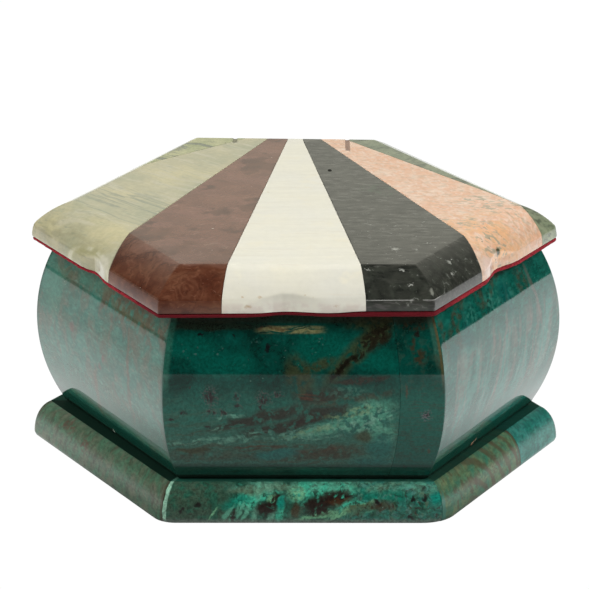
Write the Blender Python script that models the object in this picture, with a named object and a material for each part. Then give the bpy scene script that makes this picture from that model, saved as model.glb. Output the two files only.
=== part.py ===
"""Stone mosaic box: a six-sided casket pieced from sawn and ground stones, with a lift-off lid.

Every stone starts as part of a blank: the barrel of the body, the ring of the plinth or the
bevelled plate of the lid. Each blank is lofted through level outlines, and each stone is
what the saw leaves of it between its joints, as in the workshop.

Lengths are in millimetres until a mesh is finished, when MM turns them into metres. +Z is up,
the front faces -Y, and the origin is the middle of the plinth's underside.
"""

import math

import bmesh
import bpy
import numpy as np
from mathutils import Vector

MM = 0.001
GLUE_GAP = 0.3  # between two stones that are glued or rest on each other

# Heights above the table
PLINTH_TOP = 9.6
BODY_FOOT = 9.9
BODY_RIM = 53.2
FELT_BOTTOM = 53.5
FELT_TOP = 54.2
LID_UNDERSIDE = 54.55
LID_BAND_TOP = 57.25
LID_TOP = 63.35

# Body: a barrel of six slabs, ground to an arc from foot to rim
BODY_RADIUS = 66.6  # from the axis to a corner, where the barrel is widest
BODY_WIDEST_AT = 32.2
BODY_ARC = 39.75  # radius of the ground arc
BODY_EDGE = 1.5  # rounding of the upright corners
WALL_THICKNESS = 12.7  # at the widest height, from the flat inner face
WALL_RINGS = 15
FRONT_WALL_JOINT_X = 25.4

# Plinth: strips with a bullnose that is upright at its foot and rolls in to a level ledge
PLINTH_RADIUS = 67.9
PLINTH_ROLL = 5.2  # how far the bullnose comes in from foot to ledge
PLINTH_FOOT_ARRIS = 0.3
PLINTH_FOOT_TURN = 5  # degrees of the quarter ellipse that the foot's arris takes away
PLINTH_RINGS = 9
PLINTH_EDGE = 3.0
PLINTH_STRIP_WIDTH = 13.5
PLINTH_BUTT_JOINT = 0.665  # place along the front-right side, 0 at the front corner

# Lid: a flat top with a ground bevel and a leaning band on five sides, and a square back edge
LID_RADIUS = 66.0
LID_EDGE = 0.7
LID_BEVEL_STEPS = 6
LID_SIDE_POINTS = 28
LID_BACK = 57.2  # where the joints of the lid are measured
LID_BAND_LEAN = 0.05  # how far the band leans in, as a share of the bevel
FACET_SLOPE = 15.0  # degrees, where the bevel leaves the flat top
BAND_SLOPE = 50.0  # degrees, where the bevel meets the band
LEFT_SCOOP = 1.5  # finger scoop ground into the pale stone's edge, up to the brown stone
FRONT_SCOOP = 1.7  # finger scoop ground into the white stone's edge
RIGHT_SCOOP = 1.8  # finger scoop ground into the pink stone's edge
FELT_INSET = 0.4

# The six corners, anticlockwise from the front left. The stones are ground by hand, so each
# corner stands a little off the true hexagon; these are its moves in x and y.
SIDES = ("front", "front_right", "rear_right", "rear", "rear_left", "front_left")
CORNER_ANGLES = (240, 300, 0, 60, 120, 180)
BODY_MOVES = ((2.1, 0.3), (2.8, 0.3), (1.25, -2.5), (0.0, 0.0), (0.0, 0.0), (0.35, 0.3))
PLINTH_MOVES = ((1.8, 1.9), (2.6, 2.1), (0.2, -3.4), (0.4, -0.5), (0.8, -0.5), (-0.1, 0.1))
LID_MOVES = ((1.15, -0.7), (0.3, 0.6), (0.7, -0.8), (-1.1, -0.65), (-1.4, 1.75), (-0.85, 0.6))
FACET_CORNERS = (
    (-26.9, -47.7),
    (28.7, -47.9),
    (56.0, -1.0),
    (21.2, 56.6),
    (-26.7, 58.4),
    (-55.4, 2.2),
)

# Joints of the lid, left to right: x where each saw cut leaves the back edge, and x where it
# crosses the middle of the box. All of them fan out from about one point behind the lid.
LID_JOINTS = (
    (-14.35, -75.45),
    (-7.65, -30.55),
    (-2.05, -9.45),
    (1.95, 9.55),
    (6.9, 30.7),
    (13.5, 56.4),
)
LID_STONES = ("olive", "pale", "brown", "white", "black", "pink", "grey_green")

# Finishes: colour, roughness
FINISHES = {
    "lid_olive": ((0.33, 0.34, 0.20), 0.18),
    "lid_pale": ((0.58, 0.57, 0.42), 0.16),
    "lid_brown": ((0.20, 0.08, 0.06), 0.16),
    "lid_white": ((0.80, 0.76, 0.67), 0.16),
    "lid_black": ((0.03, 0.035, 0.035), 0.14),
    "lid_pink": ((0.75, 0.48, 0.36), 0.20),
    "lid_grey_green": ((0.20, 0.24, 0.18), 0.18),
    "lid_felt": ((0.50, 0.02, 0.04), 0.95),
    "wall": ((0.02, 0.13, 0.11), 0.10),
    "plinth": ((0.03, 0.17, 0.13), 0.14),
    "base_slab": ((0.10, 0.16, 0.13), 0.30),
}


def hexagon(radius, moves):
    """Six corners on a circle, each with its own small move."""
    return [
        Vector((radius * math.cos(math.radians(a)) + dx, radius * math.sin(math.radians(a)) + dy))
        for a, (dx, dy) in zip(CORNER_ANGLES, moves)
    ]


def scaled(corners, factor):
    """The same outline, grown or shrunk about the axis."""
    return [corner * factor for corner in corners]


def rounded(corners, radius, steps=4):
    """An outline with each corner turned into an arc of the radius, in short chords."""
    points = []
    for i, corner in enumerate(corners):
        back = (corners[i - 1] - corner).normalized()
        on = (corners[(i + 1) % len(corners)] - corner).normalized()
        half = back.angle(on) / 2
        middle = corner + (back + on).normalized() * radius / math.sin(half)
        start = corner + back * radius / math.tan(half) - middle
        turn = math.pi - 2 * half
        for k in range(steps + 1):
            angle = turn * k / steps
            cos, sin = math.cos(angle), math.sin(angle)
            points.append(middle + Vector((start.x * cos - start.y * sin, start.x * sin + start.y * cos)))
    return points


def outward(corners, side):
    """Unit normal of a side, in plan, pointing away from the axis."""
    run = corners[(side + 1) % 6] - corners[side]
    return Vector((run.y, -run.x)).normalized()


def level(outline, z):
    """An outline raised to one height, as points in space."""
    return [Vector((p.x, p.y, z)) for p in outline]


def loft(rings):
    """A solid through rings of equal count, lowest first, capped flat at both ends."""
    bm = bmesh.new()
    rows = [[bm.verts.new(p) for p in ring] for ring in rings]
    count = len(rows[0])
    for low, high in zip(rows, rows[1:]):
        for i in range(count):
            j = (i + 1) % count
            bm.faces.new((low[i], low[j], high[j], high[i]))
    bm.faces.new(rows[0][::-1])
    bm.faces.new(rows[-1])
    return bm


def saw(bm, point, away):
    """Cut along the upright plane through a plan point, and drop the stone on its away side."""
    geometry = bm.verts[:] + bm.edges[:] + bm.faces[:]
    cut = bmesh.ops.bisect_plane(
        bm,
        geom=geometry,
        dist=1e-4,
        plane_co=(point.x, point.y, 0),
        plane_no=(away.x, away.y, 0),
        clear_outer=True,
    )
    edges = [e for e in cut["geom_cut"] if isinstance(e, bmesh.types.BMEdge)]
    bmesh.ops.edgeloop_fill(bm, edges=edges)


def finish(bm, name, finish_name, collection):
    """Turn a sawn stone into a named object with its finish, in metres."""
    bmesh.ops.recalc_face_normals(bm, faces=bm.faces[:])
    bmesh.ops.scale(bm, vec=(MM, MM, MM), verts=bm.verts[:])
    bmesh.ops.triangulate(bm, faces=bm.faces[:])
    mesh = bpy.data.meshes.new(name)
    bm.to_mesh(mesh)
    bm.free()
    mesh.shade_smooth()
    mesh.set_sharp_from_angle(angle=math.radians(25))
    mesh.materials.append(stone(finish_name))
    obj = bpy.data.objects.new(name, mesh)
    collection.objects.link(obj)
    return obj


def stone(finish_name):
    """The material of a finish, made once."""
    if finish_name in bpy.data.materials:
        return bpy.data.materials[finish_name]
    colour, roughness = FINISHES[finish_name]
    material = bpy.data.materials.new(finish_name)
    material.use_nodes = True
    shader = material.node_tree.nodes["Principled BSDF"]
    shader.inputs["Base Color"].default_value = (*colour, 1)
    shader.inputs["Roughness"].default_value = roughness
    shader.inputs["Metallic"].default_value = 0
    return material


def body_radius(z):
    """Corner radius of the barrel at a height: an arc of a circle, widest below the middle."""
    return BODY_RADIUS - BODY_ARC + math.sqrt(BODY_ARC**2 - (z - BODY_WIDEST_AT) ** 2)


def body_blank():
    """The barrel as one solid, before it is sawn into walls."""
    corners = hexagon(BODY_RADIUS, BODY_MOVES)
    return loft(
        level(rounded(scaled(corners, body_radius(z) / BODY_RADIUS), BODY_EDGE), z)
        for z in np.linspace(BODY_FOOT, BODY_RIM, WALL_RINGS)
    )


def plinth_section():
    """How far in from the widest level, and the height: an arris, then a quarter of an ellipse."""
    turns = np.radians(np.linspace(PLINTH_FOOT_TURN, 90, PLINTH_RINGS))
    bullnose = [(PLINTH_ROLL * (1 - math.cos(turn)), PLINTH_TOP * math.sin(turn)) for turn in turns]
    return [(PLINTH_FOOT_ARRIS, 0.0)] + bullnose


def plinth_blank():
    """The plinth as one solid, lofted through the levels of its section."""
    corners = hexagon(PLINTH_RADIUS, PLINTH_MOVES)
    face_distance = PLINTH_RADIUS * math.cos(math.radians(30))
    rings = []
    for inset, z in plinth_section():
        outline = rounded(scaled(corners, 1 - inset / face_distance), PLINTH_EDGE)
        rings.append(level(outline, z))
    return loft(rings)


def mitre(bm, corners, side):
    """Saw both ends of a side at the planes through the axis and its corners."""
    for corner, hand in ((corners[side], 1), (corners[(side + 1) % 6], -1)):
        away = Vector((corner.y, -corner.x)).normalized() * hand
        saw(bm, away * -GLUE_GAP / 2, away)


def slab(blank, corners, side, thickness):
    """One side of a blank: mitred at both ends and flat inside."""
    bm = blank()
    mitre(bm, corners, side)
    normal = outward(corners, side)
    saw(bm, corners[side] - normal * thickness, -normal)
    return bm


def make_walls(collection):
    """Six barrel-ground slabs; the front one is pieced of a wide stone and a strip."""
    corners = hexagon(BODY_RADIUS, BODY_MOVES)
    for side, place in enumerate(SIDES):
        if place != "front":
            finish(slab(body_blank, corners, side, WALL_THICKNESS), f"wall_{place}", "wall", collection)
            continue
        for name, hand in (("main", 1), ("strip", -1)):
            bm = slab(body_blank, corners, side, WALL_THICKNESS)
            saw(bm, Vector((FRONT_WALL_JOINT_X - hand * GLUE_GAP / 2, 0)), Vector((hand, 0)))
            finish(bm, f"wall_{place}_{name}", "wall", collection)


def make_plinth(collection):
    """Six strips round the floor; the front-right one is pieced end to end."""
    corners = hexagon(PLINTH_RADIUS, PLINTH_MOVES)
    for side, place in enumerate(SIDES):
        if place != "front_right":
            bm = slab(plinth_blank, corners, side, PLINTH_STRIP_WIDTH)
            finish(bm, f"plinth_{place}", "plinth", collection)
            continue
        run = (corners[side + 1] - corners[side]).normalized()
        joint = corners[side].lerp(corners[side + 1], PLINTH_BUTT_JOINT)
        for name, hand in (("near", 1), ("far", -1)):
            bm = slab(plinth_blank, corners, side, PLINTH_STRIP_WIDTH)
            saw(bm, joint - run * hand * GLUE_GAP / 2, run * hand)
            finish(bm, f"plinth_{place}_{name}", "plinth", collection)


def make_base_slab(collection):
    """The flat floor that the plinth strips are glued round."""
    corners = hexagon(PLINTH_RADIUS, PLINTH_MOVES)
    bm = plinth_blank()
    for side in range(6):
        normal = outward(corners, side)
        saw(bm, corners[side] - normal * (PLINTH_STRIP_WIDTH + GLUE_GAP), normal)
    finish(bm, "base_slab", "base_slab", collection)


def joint_line(index):
    """A point on a lid joint at the back edge, and the unit direction in which it runs forward."""
    back_x, middle_x = LID_JOINTS[index]
    return Vector((back_x, LID_BACK)), Vector((middle_x - back_x, -LID_BACK)).normalized()


def joint_place(index, start, end):
    """Where along a side, from 0 to 1, a lid joint runs out."""
    point, run = joint_line(index)
    side = end - start
    return (point - start).cross(run) / side.cross(run)


def scoop(place, first, deepest, last):
    """A hollow along an edge: 0 outside, 1 at its deepest, with cosine flanks."""
    rise = np.clip((place - first) / (deepest - first), 0, 1)
    fall = np.clip((last - place) / (last - deepest), 0, 1)
    return (1 - math.cos(math.pi * min(rise, fall))) / 2


def scoop_depth(side, place, start, end):
    """How deep the finger scoops cut into a side of the lid, 0 where there is none."""
    if SIDES[side] == "front_left":
        last = joint_place(1, start, end)
        return LEFT_SCOOP * scoop(place, last - 0.21, last - 0.14, last)
    if SIDES[side] == "front":
        return FRONT_SCOOP * scoop(place, 0.317, 0.46, 0.645)
    if SIDES[side] == "front_right":
        first = joint_place(4, start, end)
        return RIGHT_SCOOP * scoop(place, first + 0.02, first + 0.17, first + 0.31)
    return 0.0


def lid_edges():
    """The lid's outline, the flat top's outline, and each point's scoop as a share of the way between."""
    corners = hexagon(LID_RADIUS, LID_MOVES)
    facet = [Vector(c) for c in FACET_CORNERS]
    lower, upper, scooped = [], [], []
    for side, start in enumerate(corners):
        end = corners[(side + 1) % 6]
        margin = LID_EDGE / (end - start).length
        for place in np.linspace(margin, 1 - margin, LID_SIDE_POINTS):
            low = start.lerp(end, place)
            high = facet[side].lerp(facet[(side + 1) % 6], 0.002 + 0.996 * (place - margin) / (1 - 2 * margin))
            width = (low - high).dot(outward(corners, side))
            lower.append(low)
            upper.append(high)
            scooped.append(scoop_depth(side, place, start, end) / width)
    return lower, upper, scooped


def bevel_rings():
    """Share of the way from edge to facet, and height, along the ground bevel.

    The bevel is an arc whose slope goes from BAND_SLOPE at the band to FACET_SLOPE at the
    flat top, stretched to meet the two heights exactly.
    """
    slopes = np.radians(np.linspace(BAND_SLOPE, FACET_SLOPE, LID_BEVEL_STEPS + 1))
    across = (math.sin(slopes[0]) - np.sin(slopes)) / (math.sin(slopes[0]) - math.sin(slopes[-1]))
    across = LID_BAND_LEAN + (1 - LID_BAND_LEAN) * across
    up = (np.cos(slopes) - math.cos(slopes[0])) / (math.cos(slopes[-1]) - math.cos(slopes[0]))
    return list(zip(across, LID_BAND_TOP + (LID_TOP - LID_BAND_TOP) * up))


def lid_blank():
    """The lid as one plate: a band that leans in a little, a ground bevel and a flat top.

    A scoop is an upright cut, so a ring never lies further out than the scoop's own wall.
    """
    edges = list(zip(*lid_edges()))
    rings = []
    for share, z in [(0.0, LID_UNDERSIDE)] + bevel_rings():
        rings.append(level([low.lerp(high, max(share, cut)) for low, high, cut in edges], z))
    return loft(rings)


def make_lid(collection):
    """Seven stones sawn from the plate along the fanning joints."""
    for index, name in enumerate(LID_STONES):
        bm = lid_blank()
        for joint, hand in ((index - 1, -1), (index, 1)):
            if 0 <= joint < len(LID_JOINTS):
                point, run = joint_line(joint)
                away = Vector((-run.y, run.x)) * hand
                saw(bm, point - away * GLUE_GAP / 2, away)
        finish(bm, f"lid_{name}", f"lid_{name}", collection)


def make_felt(collection):
    """The lining glued under the lid, cut to its outline."""
    lower = [low.lerp(high, cut) for low, high, cut in zip(*lid_edges())]
    inset = scaled(lower, 1 - FELT_INSET / LID_RADIUS)
    finish(loft([level(inset, FELT_BOTTOM), level(inset, FELT_TOP)]), "lid_felt", "lid_felt", collection)


def main():
    for obj in list(bpy.data.objects):
        bpy.data.objects.remove(obj, do_unlink=True)
    collection = bpy.data.collections.new("stone_mosaic_box")
    bpy.context.scene.collection.children.link(collection)
    make_plinth(collection)
    make_base_slab(collection)
    make_walls(collection)
    make_lid(collection)
    make_felt(collection)


main()
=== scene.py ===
# %% [markdown]
# # A stone mosaic box
#
# The real object is a six-sided casket, pieced like furniture from decorative stones: a
# plinth of rounded strips, a barrel-shaped body of mitred slabs, and a lid whose stones fan
# out like the ribs of a fan. A thin red felt is glued under the lid. This notebook takes the
# construction model as a fixed frame and gives every stone its polished surface, its soft
# arrises, its veins and its specks.
#
# Lengths are worked in millimetres, as a stone cutter would, and become metres only when a
# mesh is made.

# %% Load the frame
import math

import bmesh
import bpy
import numpy as np
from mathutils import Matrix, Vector


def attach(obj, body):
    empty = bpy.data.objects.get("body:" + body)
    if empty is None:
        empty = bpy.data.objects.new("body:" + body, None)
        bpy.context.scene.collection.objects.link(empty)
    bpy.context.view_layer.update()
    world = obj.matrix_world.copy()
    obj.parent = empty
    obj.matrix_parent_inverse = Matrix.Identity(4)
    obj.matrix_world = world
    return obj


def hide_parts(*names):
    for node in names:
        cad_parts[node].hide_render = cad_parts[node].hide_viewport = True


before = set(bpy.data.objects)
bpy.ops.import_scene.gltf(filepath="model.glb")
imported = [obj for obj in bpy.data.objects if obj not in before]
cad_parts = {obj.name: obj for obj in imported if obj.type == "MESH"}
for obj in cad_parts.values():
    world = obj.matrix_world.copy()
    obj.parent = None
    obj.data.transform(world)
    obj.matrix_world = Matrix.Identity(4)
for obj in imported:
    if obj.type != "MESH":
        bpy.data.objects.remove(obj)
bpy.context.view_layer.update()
MM = 0.001
print("nodes in the frame:", len(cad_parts))

# %% [markdown]
# ## Reading the sizes from the frame
#
# The outline of plinth, body and lid is a hexagon that is a little out of true, because the
# real one is ground by hand. We could type its corners in again, but then the two models
# could drift apart. So we measure the construction model: a side of a hexagon is the line
# that touches the outermost points, and two neighbouring lines cross in a corner.

# %% Measure hexagons
SIDES = ("front", "front_right", "rear_right", "rear", "rear_left", "front_left")
SIDE_BEARINGS = (270, 330, 30, 90, 150, 210)  # degrees, the way each side faces
HALF_GAP = 0.15  # half the gap that two stones of the construction model keep between them
SAME_LEVEL = 0.05  # heights that differ by less are one level


def cad_points(*nodes):
    """All corners of the named CAD nodes, in millimetres, as rows of x, y, z."""
    return np.array([v.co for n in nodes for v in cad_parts[n].data.vertices]) / MM


def at_height(points, z):
    """The plan positions of the points at one height."""
    return points[np.abs(points[:, 2] - z) < SAME_LEVEL][:, :2]


def unit(vector):
    """The vector at length one."""
    return vector / np.linalg.norm(vector)


def outward(corners, side):
    """The plan normal of a side: its run, turned a quarter clockwise."""
    run = corners[(side + 1) % 6] - corners[side]
    return unit(np.array([run[1], -run[0]]))


def hug(points):
    """Six corners of the hexagon that hugs plan points, anticlockwise from the front left.

    Each side is the line through the outermost point of its left half and of its right half,
    found again a few times as its normal settles. With normals n and offsets d, two
    neighbouring sides cross where n1 . p = d1 and n2 . p = d2.
    """
    lines = []
    for bearing in np.radians(SIDE_BEARINGS):
        normal = np.array([math.cos(bearing), math.sin(bearing)])
        for _ in range(6):
            along = points @ np.array([-normal[1], normal[0]])
            left, right = points[along < 0], points[along >= 0]
            a, b = left[np.argmax(left @ normal)], right[np.argmax(right @ normal)]
            normal = unit(np.array([b[1] - a[1], a[0] - b[0]]))
        lines.append((normal, normal @ a))
    pairs = [(lines[i - 1], lines[i]) for i in range(6)]
    return np.array([np.linalg.solve(np.array([a[0], b[0]]), [a[1], b[1]]) for a, b in pairs])


WALLS = [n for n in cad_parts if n.startswith("wall_")]
STRIPS = [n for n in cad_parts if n.startswith("plinth_")]
LID = ["lid_" + n for n in ("olive", "pale", "brown", "white", "black", "pink", "grey_green")]
wall_points, strip_points, lid_points = cad_points(*WALLS), cad_points(*STRIPS), cad_points(*LID)
FOOT, RIM = wall_points[:, 2].min(), wall_points[:, 2].max()
PLINTH_TOP = strip_points[:, 2].max()
UNDER, TOP = lid_points[:, 2].min(), lid_points[:, 2].max()
STRIP_LEVELS = np.unique(strip_points[:, 2].round(2))
plinth_corners = hug(at_height(strip_points, STRIP_LEVELS[1]))
lid_corners = hug(at_height(lid_points, UNDER))
near_corner = np.linalg.norm(lid_points[:, :2] - lid_corners[0], axis=1) < 1.5
BAND_TOP = np.unique(lid_points[near_corner, 2].round(2))[1]  # the second height met at a corner
facet_corners = hug(at_height(lid_points, TOP))
print("plinth corners:", plinth_corners.round(1).tolist())
print("lid corners:", lid_corners.round(1).tolist())

# %% [markdown]
# ## From arrays to meshes
#
# Every piece is a grid of points worked out with numpy. This cell turns such a grid into a
# closed mesh. The grid's quads come from index arithmetic, and a few flat caps close it.
# Merging doubles and recalculating the normals once at the end keeps each shape function
# free of bookkeeping.

# %% Make a mesh from a grid
SHARP = math.radians(32)


def grid_faces(rows, columns, wrap=False):
    """Quads of a grid whose points are numbered row by row; wrap joins the last column to the first."""
    across = columns if wrap else columns - 1
    i, j = np.meshgrid(np.arange(rows - 1), np.arange(across), indexing="ij")
    k = (j + 1) % columns
    quads = np.stack([i * columns + j, i * columns + k, (i + 1) * columns + k, (i + 1) * columns + j], -1)
    return quads.reshape(-1, 4).tolist()


def tube_faces(rows, columns):
    """Faces of a tube of closed rings, with a flat cap at each end."""
    caps = [list(range(columns)), list(range((rows - 1) * columns, rows * columns))]
    return grid_faces(rows, columns, wrap=True) + caps


def make_piece(name, points, faces, replaces=(), fields=None):
    """A closed, smooth-shaded piece that rides on the box; points are in millimetres.

    fields holds named numbers per point, such as the distance to the nearest joint.
    """
    mesh = bpy.data.meshes.new(name)
    mesh.from_pydata((points * MM).tolist(), [], faces)
    for field, values in (fields or {}).items():
        mesh.attributes.new(field, "FLOAT", "POINT").data.foreach_set("value", values.astype(np.float32))
    bm = bmesh.new()
    bm.from_mesh(mesh)
    bmesh.ops.remove_doubles(bm, verts=bm.verts, dist=2e-6)
    bmesh.ops.dissolve_degenerate(bm, edges=bm.edges, dist=1e-6)
    bmesh.ops.recalc_face_normals(bm, faces=bm.faces)
    bm.to_mesh(mesh)
    bm.free()
    mesh.shade_smooth()
    mesh.set_sharp_from_angle(angle=SHARP)
    piece = bpy.data.objects.new(name, mesh)
    bpy.context.scene.collection.objects.link(piece)
    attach(piece, "root")
    if replaces:
        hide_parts(*replaces)
    print(f"{name}: {len(mesh.polygons)} faces")
    return piece


# %% [markdown]
# ## Hand polish
#
# A surface that is polished by hand is never a perfect plane. The eye reads this in the
# reflections, not in the outline, so a few hundredths of a millimetre are enough. A sum of
# long sine waves in fixed directions gives a smooth, repeatable unevenness.

# %% Unevenness
WAVES = 14
waves = np.random.default_rng(7)
WAVE_DIRECTIONS = waves.normal(size=(WAVES, 3))
WAVE_LENGTHS = waves.uniform(9, 40, WAVES)
WAVE_STARTS = waves.uniform(0, 2 * math.pi, WAVES)


def uneven(points):
    """A number near -1 to 1 at each point: a sum of sines along fixed directions."""
    turns = WAVE_DIRECTIONS / np.linalg.norm(WAVE_DIRECTIONS, axis=1)[:, None] / WAVE_LENGTHS[:, None]
    phases = 2 * math.pi * points @ turns.T + WAVE_STARTS
    return np.sin(phases).sum(-1) / math.sqrt(WAVES)


# %% [markdown]
# ## Slabs and strips
#
# A wall of the body and a strip of the plinth are made the same way in the workshop: a bar
# with a ground section is mitred at both ends. So one function serves both. It carries a
# closed section along a side of the hexagon. Because every corner line of the box leans
# towards the axis as the section does, a point of the section simply runs from its share of
# one corner to its share of the next.

# %% Carry a section along a side
SEAM = 0.04  # half the width of a joint between two stones
HALF_TURN = 30  # degrees, half of what a hexagon turns at a corner
TAN_HALF = math.tan(math.radians(HALF_TURN))
ARC_POINTS, SIDE_POINTS = 9, 90  # on half a rounded corner, and between two of them
FAR = 99.0  # the distance to a joint where an end is only a butt joint, which has no glue line to shade


def rounded_end(radius, length):
    """Shares along a side, and depths, on the arc that rounds its corner.

    Where the arc has turned by a, it lies radius * (1 - cos a) deep.
    """
    arc = np.radians(np.linspace(HALF_TURN, 0, ARC_POINTS))
    sunk = radius * (1 - np.cos(arc))
    return (radius * TAN_HALF - radius * np.sin(arc) - sunk * TAN_HALF) / length, sunk


def mitred(node, section, corners, side, radii, start, end, wave=0.006):
    """A bar in a node's place: a closed section, mitred at a side's corners, from start to end of it.

    section has rows of reach, height and roundness. A point with reach r runs from r times
    one corner to r times the next. radii are the roundings of the six corners, and the depth
    of a rounding is taken times the roundness.
    """
    first, last = corners[side], corners[(side + 1) % 6]
    length, apothem = np.linalg.norm(last - first), outward(corners, side) @ first
    near, sunk = rounded_end(radii[side], length)
    far, far_sunk = rounded_end(radii[(side + 1) % 6], length)
    middle = np.linspace(near[-1], 1 - far[-1], SIDE_POINTS)[1:-1]
    place = np.concatenate([near, middle, 1 - far[::-1]])
    depth = np.concatenate([sunk, 0 * middle, far_sunk[::-1]])
    inside = (place > start) & (place < end)
    seam = SEAM / length
    place = np.concatenate([[start + seam], place[inside], [end - seam]])
    depth = np.concatenate([[sunk[0] * (start == 0)], depth[inside], [far_sunk[0] * (end == 1)]])
    reach, height, roundness = np.array(section).T
    reach = reach[None, :] - depth[:, None] * roundness[None, :] / apothem
    plan = (first + (last - first) * place[:, None])[:, None, :] * reach[..., None]
    points = np.concatenate([plan, np.broadcast_to(height[None, :, None], reach.shape + (1,))], -1)
    points[..., :2] += (wave * uneven(points) * roundness)[..., None] * outward(corners, side)
    rows, columns = reach.shape
    from_start = (place - start) * length if start == 0 else np.full(rows, FAR)
    from_end = (end - place) * length if end == 1 else np.full(rows, FAR)
    fields = {"joint": np.repeat(np.minimum(from_start, from_end), columns),
              "along": np.repeat(place * length, columns),
              "inset": ((1 - reach) * apothem).ravel()}
    return make_piece("stone_" + node, points.reshape(-1, 3), tube_faces(rows, columns), [node], fields)


def inner_reach(nodes, corners, side):
    """Reach of the flat inner face: where the innermost CAD points of a side lie."""
    normal = outward(corners, side)
    return (cad_points(*nodes)[:, :2] @ normal).min() / (normal @ corners[side])


def build_sides(prefix, lengths, corners, radii, section_of):
    """The bars of all six sides, by node.

    A side whose node is missing is pieced: lengths holds the ending, start and end of each bar.
    """
    made = {}
    for side, place in enumerate(SIDES):
        parts = [(prefix + place, 0.0, 1.0)]
        if parts[0][0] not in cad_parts:
            parts = [(prefix + place + ending, start, end) for ending, start, end in lengths]
        section = section_of(inner_reach([node for node, _, _ in parts], corners, side))
        for node, start, end in parts:
            made[node] = mitred(node, section, corners, side, radii, start, end)
    return made


# %% [markdown]
# ## The body
#
# The six slabs are ground to one arc from foot to rim, and flat inside. Three heights of the
# construction model give the arc: foot, middle and rim. A circle goes through three points,
# so the section can then be as fine as we like. The rim and the foot get small rounded
# arrises, because a knife edge on stone chips.

# %% Walls
def circle_through(a, b, c):
    """Centre and radius of the circle through three plane points.

    Equal distances to them give two linear equations: 2 (b - a) . m = b . b - a . a, and
    the same with c for b.
    """
    rows = 2 * np.array([b - a, c - a])
    centre = np.linalg.solve(rows, [b @ b - a @ a, c @ c - a @ a])
    return centre, np.linalg.norm(a - centre)


def corner_reach(z):
    """How far the front left corner of the body is from the axis at a height."""
    return np.linalg.norm(hug(at_height(wall_points, z))[0])


levels = np.unique(wall_points[:, 2].round(3))
widest = levels[np.argmin(np.abs(levels - (FOOT + RIM) / 2))]
measured = [np.array([z, corner_reach(z)]) for z in (FOOT, widest, RIM)]
BARREL_CENTRE, BARREL_ARC = circle_through(*measured)
body_corners = hug(at_height(wall_points, widest))
REACH = measured[1][1]  # of the first of the body's corners
print("barrel arc radius:", round(BARREL_ARC, 1), "widest at height:", round(BARREL_CENTRE[0], 1))


def barrel(z):
    """Reach of the body at a height, as a share of the reach of body_corners."""
    swell = np.sqrt(BARREL_ARC**2 - (z - BARREL_CENTRE[0]) ** 2)
    return (BARREL_CENTRE[1] + swell) / REACH


RIM_ARRIS, FOOT_ARRIS = 0.5, 1.6  # how far the two ends of the arc are rounded
ARRIS_LEAN = 0.004  # how far a rounding leans in as the barrel goes on, as a share of the reach
ARRIS_POINTS, BARREL_POINTS = 8, 90  # on a rounding, and on the ground arc
LEDGE_DROP = 0.2  # how far the ledge of the plinth lies below its frame height
SEAT = PLINTH_TOP - LEDGE_DROP + 0.02  # the wall stands on the ledge


def wall_section(inner):
    """Closed section of a wall: the rounded foot, the ground arc, the rounded rim, the flat inner face."""
    low, high = SEAT + FOOT_ARRIS, RIM - RIM_ARRIS

    def arris(height, radius, way):
        """A rounding, up or down from where the arc ends: at the turn t, radius * (1 - cos t) in."""
        turns = np.radians(np.linspace(0, 90, ARRIS_POINTS))[1:]
        return [(barrel(height) - radius * (1 - math.cos(t)) / REACH - ARRIS_LEAN * math.sin(t),
                 height + way * radius * math.sin(t), 1.0) for t in turns]

    arc = [(barrel(h), h, 1.0) for h in np.linspace(low, high, BARREL_POINTS)]
    inside = [(inner + 0.006, RIM), (inner, RIM - 0.4), (inner, FOOT + 0.1), (inner + 0.003, SEAT)]
    inside = [(reach, h, 0.0) for reach, h in inside]
    return arris(low, FOOT_ARRIS, -1)[::-1] + arc + arris(high, RIM_ARRIS, 1) + inside


BODY_EDGES = (0.35,) * 6  # radii of the upright corners
split = cad_points("wall_front_main")[:, 0].max() + HALF_GAP
split = (split - body_corners[0][0]) / (body_corners[1][0] - body_corners[0][0])
slabs = (("_main", 0.0, split), ("_strip", split, 1.0))
walls = build_sides("wall_", slabs, body_corners, BODY_EDGES, wall_section)

# %% [markdown]
# ## The plinth
#
# The strips have a bullnose: upright at the table, rolling in to the ledge that carries the
# walls. A quarter of an ellipse draws it, and the construction model gives its width and
# height. The ledge itself is ground a hair lower, with a crisp edge, so that the wall seems
# to stand in a dark groove. One strip, at the front right, is pieced from two lengths.

# %% Plinth strips
FOOT_TURN = 6.0  # degrees of the ellipse that the arris at the table takes away
ROLL_POINTS = 44  # on the rest of it
APOTHEM = outward(plinth_corners, 0) @ plinth_corners[0]
ROLL = APOTHEM - outward(plinth_corners, 0) @ hug(at_height(strip_points, PLINTH_TOP))[0]


def roundness_at(z):
    """How round the corners of the plinth are: worn at the foot, crisp from half its height up."""
    return 0.08 + 0.92 * max(0.0, 1 - 1.6 * z / PLINTH_TOP) ** 1.3


def strip_section(inner):
    """Closed section of a strip: an arris, the quarter ellipse, the ledge, down the inner face.

    At the turn t the ellipse lies ROLL * (1 - cos t) in, at the height PLINTH_TOP * sin t.
    """
    ledge = PLINTH_TOP - LEDGE_DROP
    turns = np.linspace(math.radians(FOOT_TURN), math.asin(ledge / PLINTH_TOP), ROLL_POINTS)
    rows = [(1 - ROLL * (1 - math.cos(t)) / APOTHEM, PLINTH_TOP * math.sin(t)) for t in turns]
    reach, foot = rows[0]
    table_arris = [(reach - 0.008, 0.0), (reach - 0.0055, 0.08), (reach - 0.002, foot * 0.55)]
    rows = [(r, z, roundness_at(z)) for r, z in table_arris + rows]
    inside = [(rows[-1][0] - 0.005, ledge + 0.01), (inner + 0.004, ledge), (inner, ledge - 0.2), (inner, 0.2),
              (inner + 0.004, 0.0)]
    return rows + [(r, z, 0.0) for r, z in inside]


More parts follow.
